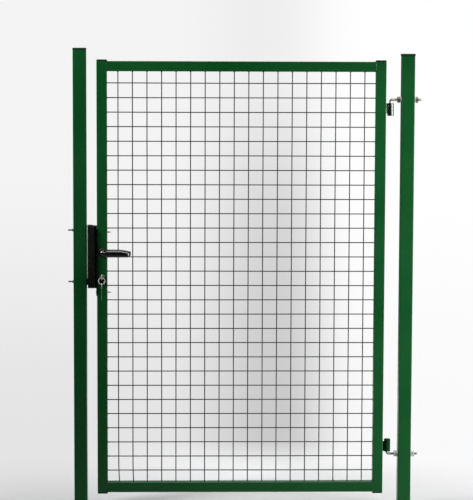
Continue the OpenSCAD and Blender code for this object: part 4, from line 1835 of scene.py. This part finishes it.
@dataclass(frozen=True)
class Lamp:
    """One soft lamp.

    Attributes:
        name: Name of the lamp.
        place: Where it hangs.
        aim: What it points at.
        power: Its power in watts.
        size: Width and height of its face.
        beam: How wide its light spreads, in degrees.
    """

    name: str
    place: Triple
    aim: Triple
    power: float
    size: tuple[float, float]
    beam: float = 180.0

    def hang(self) -> None:
        """Add the lamp to the scene."""
        data = bpy.data.lights.new(self.name, "AREA")
        data.shape, data.energy, data.spread = "RECTANGLE", self.power, radians(self.beam)
        data.size, data.size_y = self.size
        lamp = bpy.data.objects.new(self.name, data)
        lamp.location = self.place
        towards = Vector(self.aim) - Vector(self.place)
        lamp.rotation_euler = towards.to_track_quat("-Z", "Y").to_euler()
        bpy.context.scene.collection.objects.link(lamp)


@dataclass
class Studio:
    """Pale floor, soft lamps, white surroundings and the camera.

    What lies between two parts of the line of sight is given by that line's length along an
    axis when the whole line is 1 long.

    Attributes:
        floor_radius: Radius of the floor.
        near: Pale colour of the floor by the gate.
        patchy: Share of that colour that the darkest patches have.
        middle: Where the gate's middle is along X.
        fade: Distances from there between which the floor turns into the surroundings' white.
        ahead: Distances between which it does so on the camera's side.
        beside: Distances along X between which it does so at the sides.
        far: White of the surroundings, at the left and at the right.
        far_sides: Parts along X between which it goes from one to the other.
        shade_band: Share of it that the painted shade band behind the gate takes away, high up and
            low down.
        shade_band_sides: Parts along X where the band starts, is deepest and ends.
        shade_band_heights: Parts along Z between which it deepens.
        lower: Share of the white that painted shade takes away lower down, at the right and at the
            left.
        lower_sides: Parts along X between which that goes from one to the other.
        lower_heights: Parts along Z between which it is lost.
        overhead: Strength of the white from above in mirrored light.
        mirrored: Share of the white behind the gate that shows in mirrored and passed light.
        glow: Light of the surroundings from the camera's side and from behind the gate.
        stand: Where the camera stands.
        yaw: How far it looks to the right, in radians.
        pitch: How far it looks down.
        roll: How far it leans over.
        lens: Its lens in millimetres.
        sensor: Width of its sensor in millimetres.
        lamps: The lamps.
    """

    floor_radius: float = 6.0
    near: Colour = (0.87, 0.87, 0.88)
    patchy: float = 0.98
    middle: float = -0.57
    fade: tuple[float, float] = (0.4, 1.3)
    ahead: tuple[float, float] = (0.3, 1.3)
    beside: tuple[float, float] = (1.5, 2.3)
    far: tuple[float, float] = (0.90, 1.0)
    far_sides: tuple[float, float] = (0.025, 0.095)
    shade_band: tuple[float, float] = (0.06, 0.26)
    shade_band_sides: Triple = (-0.010, 0.048, 0.083)
    shade_band_heights: tuple[float, float] = (0.0, -0.09)
    lower: tuple[float, float] = (0.05, 0.14)
    lower_sides: tuple[float, float] = (0.10, 0.05)
    lower_heights: tuple[float, float] = (-0.05, -0.19)
    overhead: float = 2.2
    mirrored: float = 0.12
    glow: tuple[float, float] = (0.01, 0.25)
    stand: Triple = (-0.7654, -6.9419, 1.5706)
    yaw: float = 0.0254
    pitch: float = 0.0957
    roll: float = 0.0033
    lens: float = 144.9
    sensor: float = 36.0
    lamps: tuple[Lamp, ...] = (
        Lamp("left_softbox", (-2.9, -1.05, 2.7), (-0.9, 0.0, 1.7), 20.0, (0.7, 0.7), 80.0),
        Lamp("right_softbox", (1.0, -0.7, 0.9), (-0.02, 0.0, 0.8), 4.7, (0.5, 1.75), 45.0),
        Lamp("back_softbox", (0.3, 2.4, 2.6), (0.2, 1.9, 0.0), 50.0, (3.0, 1.5), 104.0),
    )

    def build(self) -> None:
        """Set the floor, light and camera."""
        bpy.context.scene.view_settings.view_transform = "Standard"
        self.lay_floor()
        self.light_surroundings()
        for lamp in self.lamps:
            lamp.hang()
        self.set_camera()
        log.info("studio: floor, surroundings, %d lamps and camera", len(self.lamps))

    def lay_floor(self) -> None:
        """A wide round floor that fades into the white surroundings."""
        disc = bmesh.new()
        bmesh.ops.create_circle(disc, cap_ends=True, segments=96, radius=self.floor_radius)
        mesh = bpy.data.meshes.new("floor")
        disc.to_mesh(mesh)
        disc.free()
        mesh.materials.append(self.floor_material())
        floor = bpy.data.objects.new("floor", mesh)
        bpy.context.scene.collection.objects.link(floor)
        floor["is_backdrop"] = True

    def floor_material(self) -> bpy.types.Material:
        """Pale and matte near the gate; far off it shows as the same white as the surroundings.

        Returns:
            The material.
        """
        made = bpy.data.materials.new("studio_floor")
        made.use_nodes = True
        graph = Graph(made.node_tree)
        shader = made.node_tree.nodes["Principled BSDF"]
        shader.inputs["Roughness"].default_value = 0.95
        shader.inputs["Specular IOR Level"].default_value = 0.1
        spot = graph.add("ShaderNodeTexCoord").outputs["Object"]
        patches = graph.add("ShaderNodeTexNoise", Scale=0.6, Detail=1.0)
        graph.link(spot, patches.inputs["Vector"])
        darker = tuple(self.patchy * part for part in self.near)
        graph.link(graph.blend(patches.outputs["Fac"], darker, self.near),
                   shader.inputs["Base Color"])
        offset = graph.vector("SUBTRACT", spot, (self.middle, 0.0, 0.0)).outputs["Vector"]
        aside, behind, _ = graph.split(offset)
        distant = graph.ramp(graph.vector("LENGTH", offset).outputs["Value"], *self.fade)
        for reach in (graph.ramp(behind, -self.ahead[0], -self.ahead[1]),
                      graph.ramp(graph.maths("ABSOLUTE", aside), *self.beside)):
            distant = graph.maths("MAXIMUM", distant, reach)
        from_camera = graph.vector("SUBTRACT", spot, self.stand).outputs["Vector"]
        sight = graph.vector("NORMALIZE", from_camera).outputs["Vector"]
        white = graph.add("ShaderNodeEmission")
        graph.link(self.level(graph, sight), white.inputs["Strength"])
        seen = self.seen(graph, graph.ramp(behind, -0.5, 0.5), self.mirrored)
        mixed = graph.add("ShaderNodeMixShader")
        graph.link(graph.product(distant, seen), mixed.inputs["Fac"])
        graph.link(shader.outputs["BSDF"], mixed.inputs[1])
        graph.link(white.outputs["Emission"], mixed.inputs[2])
        graph.link(mixed.outputs["Shader"],
                   made.node_tree.nodes["Material Output"].inputs["Surface"])
        return made

    def level(self, graph: Graph, sight: bpy.types.NodeSocket) -> bpy.types.NodeSocket:
        """The surroundings' white: brighter towards +X, with painted shade in a soft grey band
        behind the gate and lower down.

        Args:
            graph: The material's or the world's nodes.
            sight: The line of sight, 1 long.
        Returns:
            The strength of the white.
        """
        across, ahead, up = graph.split(sight)
        # Painted shade: a soft grey band behind the gate, and less white lower down.
        start, deepest, end = self.shade_band_sides
        beyond = graph.ramp(ahead, 0.0, 0.5)
        shade_band = graph.product(graph.ramp(across, start, deepest), graph.ramp(across, end, deepest),
                             graph.ramp(up, *self.shade_band_heights, *self.shade_band), beyond)
        lower = graph.product(graph.ramp(across, *self.lower_sides, *self.lower),
                              graph.ramp(up, *self.lower_heights), beyond)
        return graph.product(graph.ramp(across, *self.far_sides, *self.far),
                             graph.maths("SUBTRACT", 1.0, shade_band),
                             graph.maths("SUBTRACT", 1.0, lower))

    @staticmethod
    def seen(graph: Graph, zone: bpy.types.NodeSocket, share: float) -> bpy.types.NodeSocket:
        """How much of a zone's white shows to the camera and in mirrored and passed light.

        Args:
            graph: The material's or the world's nodes.
            zone: 1 in the zone and 0 outside it.
            share: What shows of it in mirrored and passed light.
        Returns:
            1 for the camera; for mirrored and passed light the share, in the zone only.
        """
        rays = graph.add("ShaderNodeLightPath")
        mirrored = graph.maths("MAXIMUM", rays.outputs["Is Glossy Ray"],
                               rays.outputs["Is Transmission Ray"])
        return graph.maths("MAXIMUM", rays.outputs["Is Camera Ray"],
                           graph.product(mirrored, zone, share))

    def light_surroundings(self) -> None:
        """White to the camera; as a light, bright behind the gate and dim on the camera's side."""
        world = bpy.data.worlds.new("surroundings")
        bpy.context.scene.world = world
        world.use_nodes = True
        graph = Graph(world.node_tree)
        ground = world.node_tree.nodes["Background"]
        ground.inputs["Color"].default_value = (1.0, 1.0, 1.0, 1.0)
        sight = graph.add("ShaderNodeTexCoord").outputs["Generated"]
        across, ahead, up = graph.split(sight)
        behind = graph.ramp(ahead, 0.0, 0.3)
        right = graph.product(graph.ramp(across, 0.2, 0.5), graph.ramp(up, -0.15, -0.05),
                              graph.ramp(ahead, 0.4, 0.2))
        above = graph.ramp(up, 0.60, 0.80)
        hidden = graph.maths("SUBTRACT", 1.0, self.seen(graph, behind, 1.0))
        dimmed = graph.product(graph.ramp(ahead, -0.5, 0.8, *self.glow), hidden)
        shown = graph.product(self.level(graph, sight),
                              graph.maths("MAXIMUM", self.seen(graph, behind, self.mirrored),
                                          self.seen(graph, right, 1.0)))
        softened = graph.product(above, self.seen(graph, above, self.overhead))
        graph.link(graph.maths("ADD", graph.maths("ADD", dimmed, shown), softened),
                   ground.inputs["Strength"])

    def set_camera(self) -> None:
        """Stand the camera in front of the gate."""
        data = bpy.data.cameras.new("camera")
        data.sensor_width, data.lens = self.sensor, self.lens
        data.clip_start, data.clip_end = 0.1, 200.0
        camera = bpy.data.objects.new("camera", data)
        forward = Vector((sin(self.yaw) * cos(self.pitch), cos(self.yaw) * cos(self.pitch),
                          -sin(self.pitch)))
        right = Vector((cos(self.yaw), -sin(self.yaw), 0.0))
        up = right.cross(forward)
        level = cos(self.roll) * right + sin(self.roll) * up
        upright = cos(self.roll) * up - sin(self.roll) * right
        turn = Matrix((level, upright, -forward)).transposed().to_4x4()
        camera.matrix_world = Matrix.Translation(self.stand) @ turn
        bpy.context.scene.collection.objects.link(camera)
        bpy.context.scene.camera = camera


def corners(bounds: tuple[Vector, Vector]) -> list[list[float]]:
    """A box's corners as plain lists."""
    return [list(corner) for corner in bounds]


def main() -> None:
    """Build the gate around the frame, light it, and work out the sizes before and after."""
    logging.basicConfig(level=logging.INFO, format="%(name)s: %(message)s")
    frame_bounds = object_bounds()
    for part in (Posts(), LeafFrame(), MeshPanel(),
                 # The hinges carry the same hardware; the upper nuts' dark zinc and the lower
                 # hook's darker zinc are painted shade.
                 HookHinge(Level.UPPER, points_up=False, eye_finish=BRIGHT_EYE),
                 HookHinge(Level.LOWER, points_up=True, nut_finish=ZINC_STEEL,
                           hook_finish=SHADED_ZINC),
                 Keeper(), Lock(), Handle(), KeyBunch(), Studio()):
        part.build()
    {"frame": corners(frame_bounds), "visual": corners(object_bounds())}


if __name__ == "__main__":
    main()
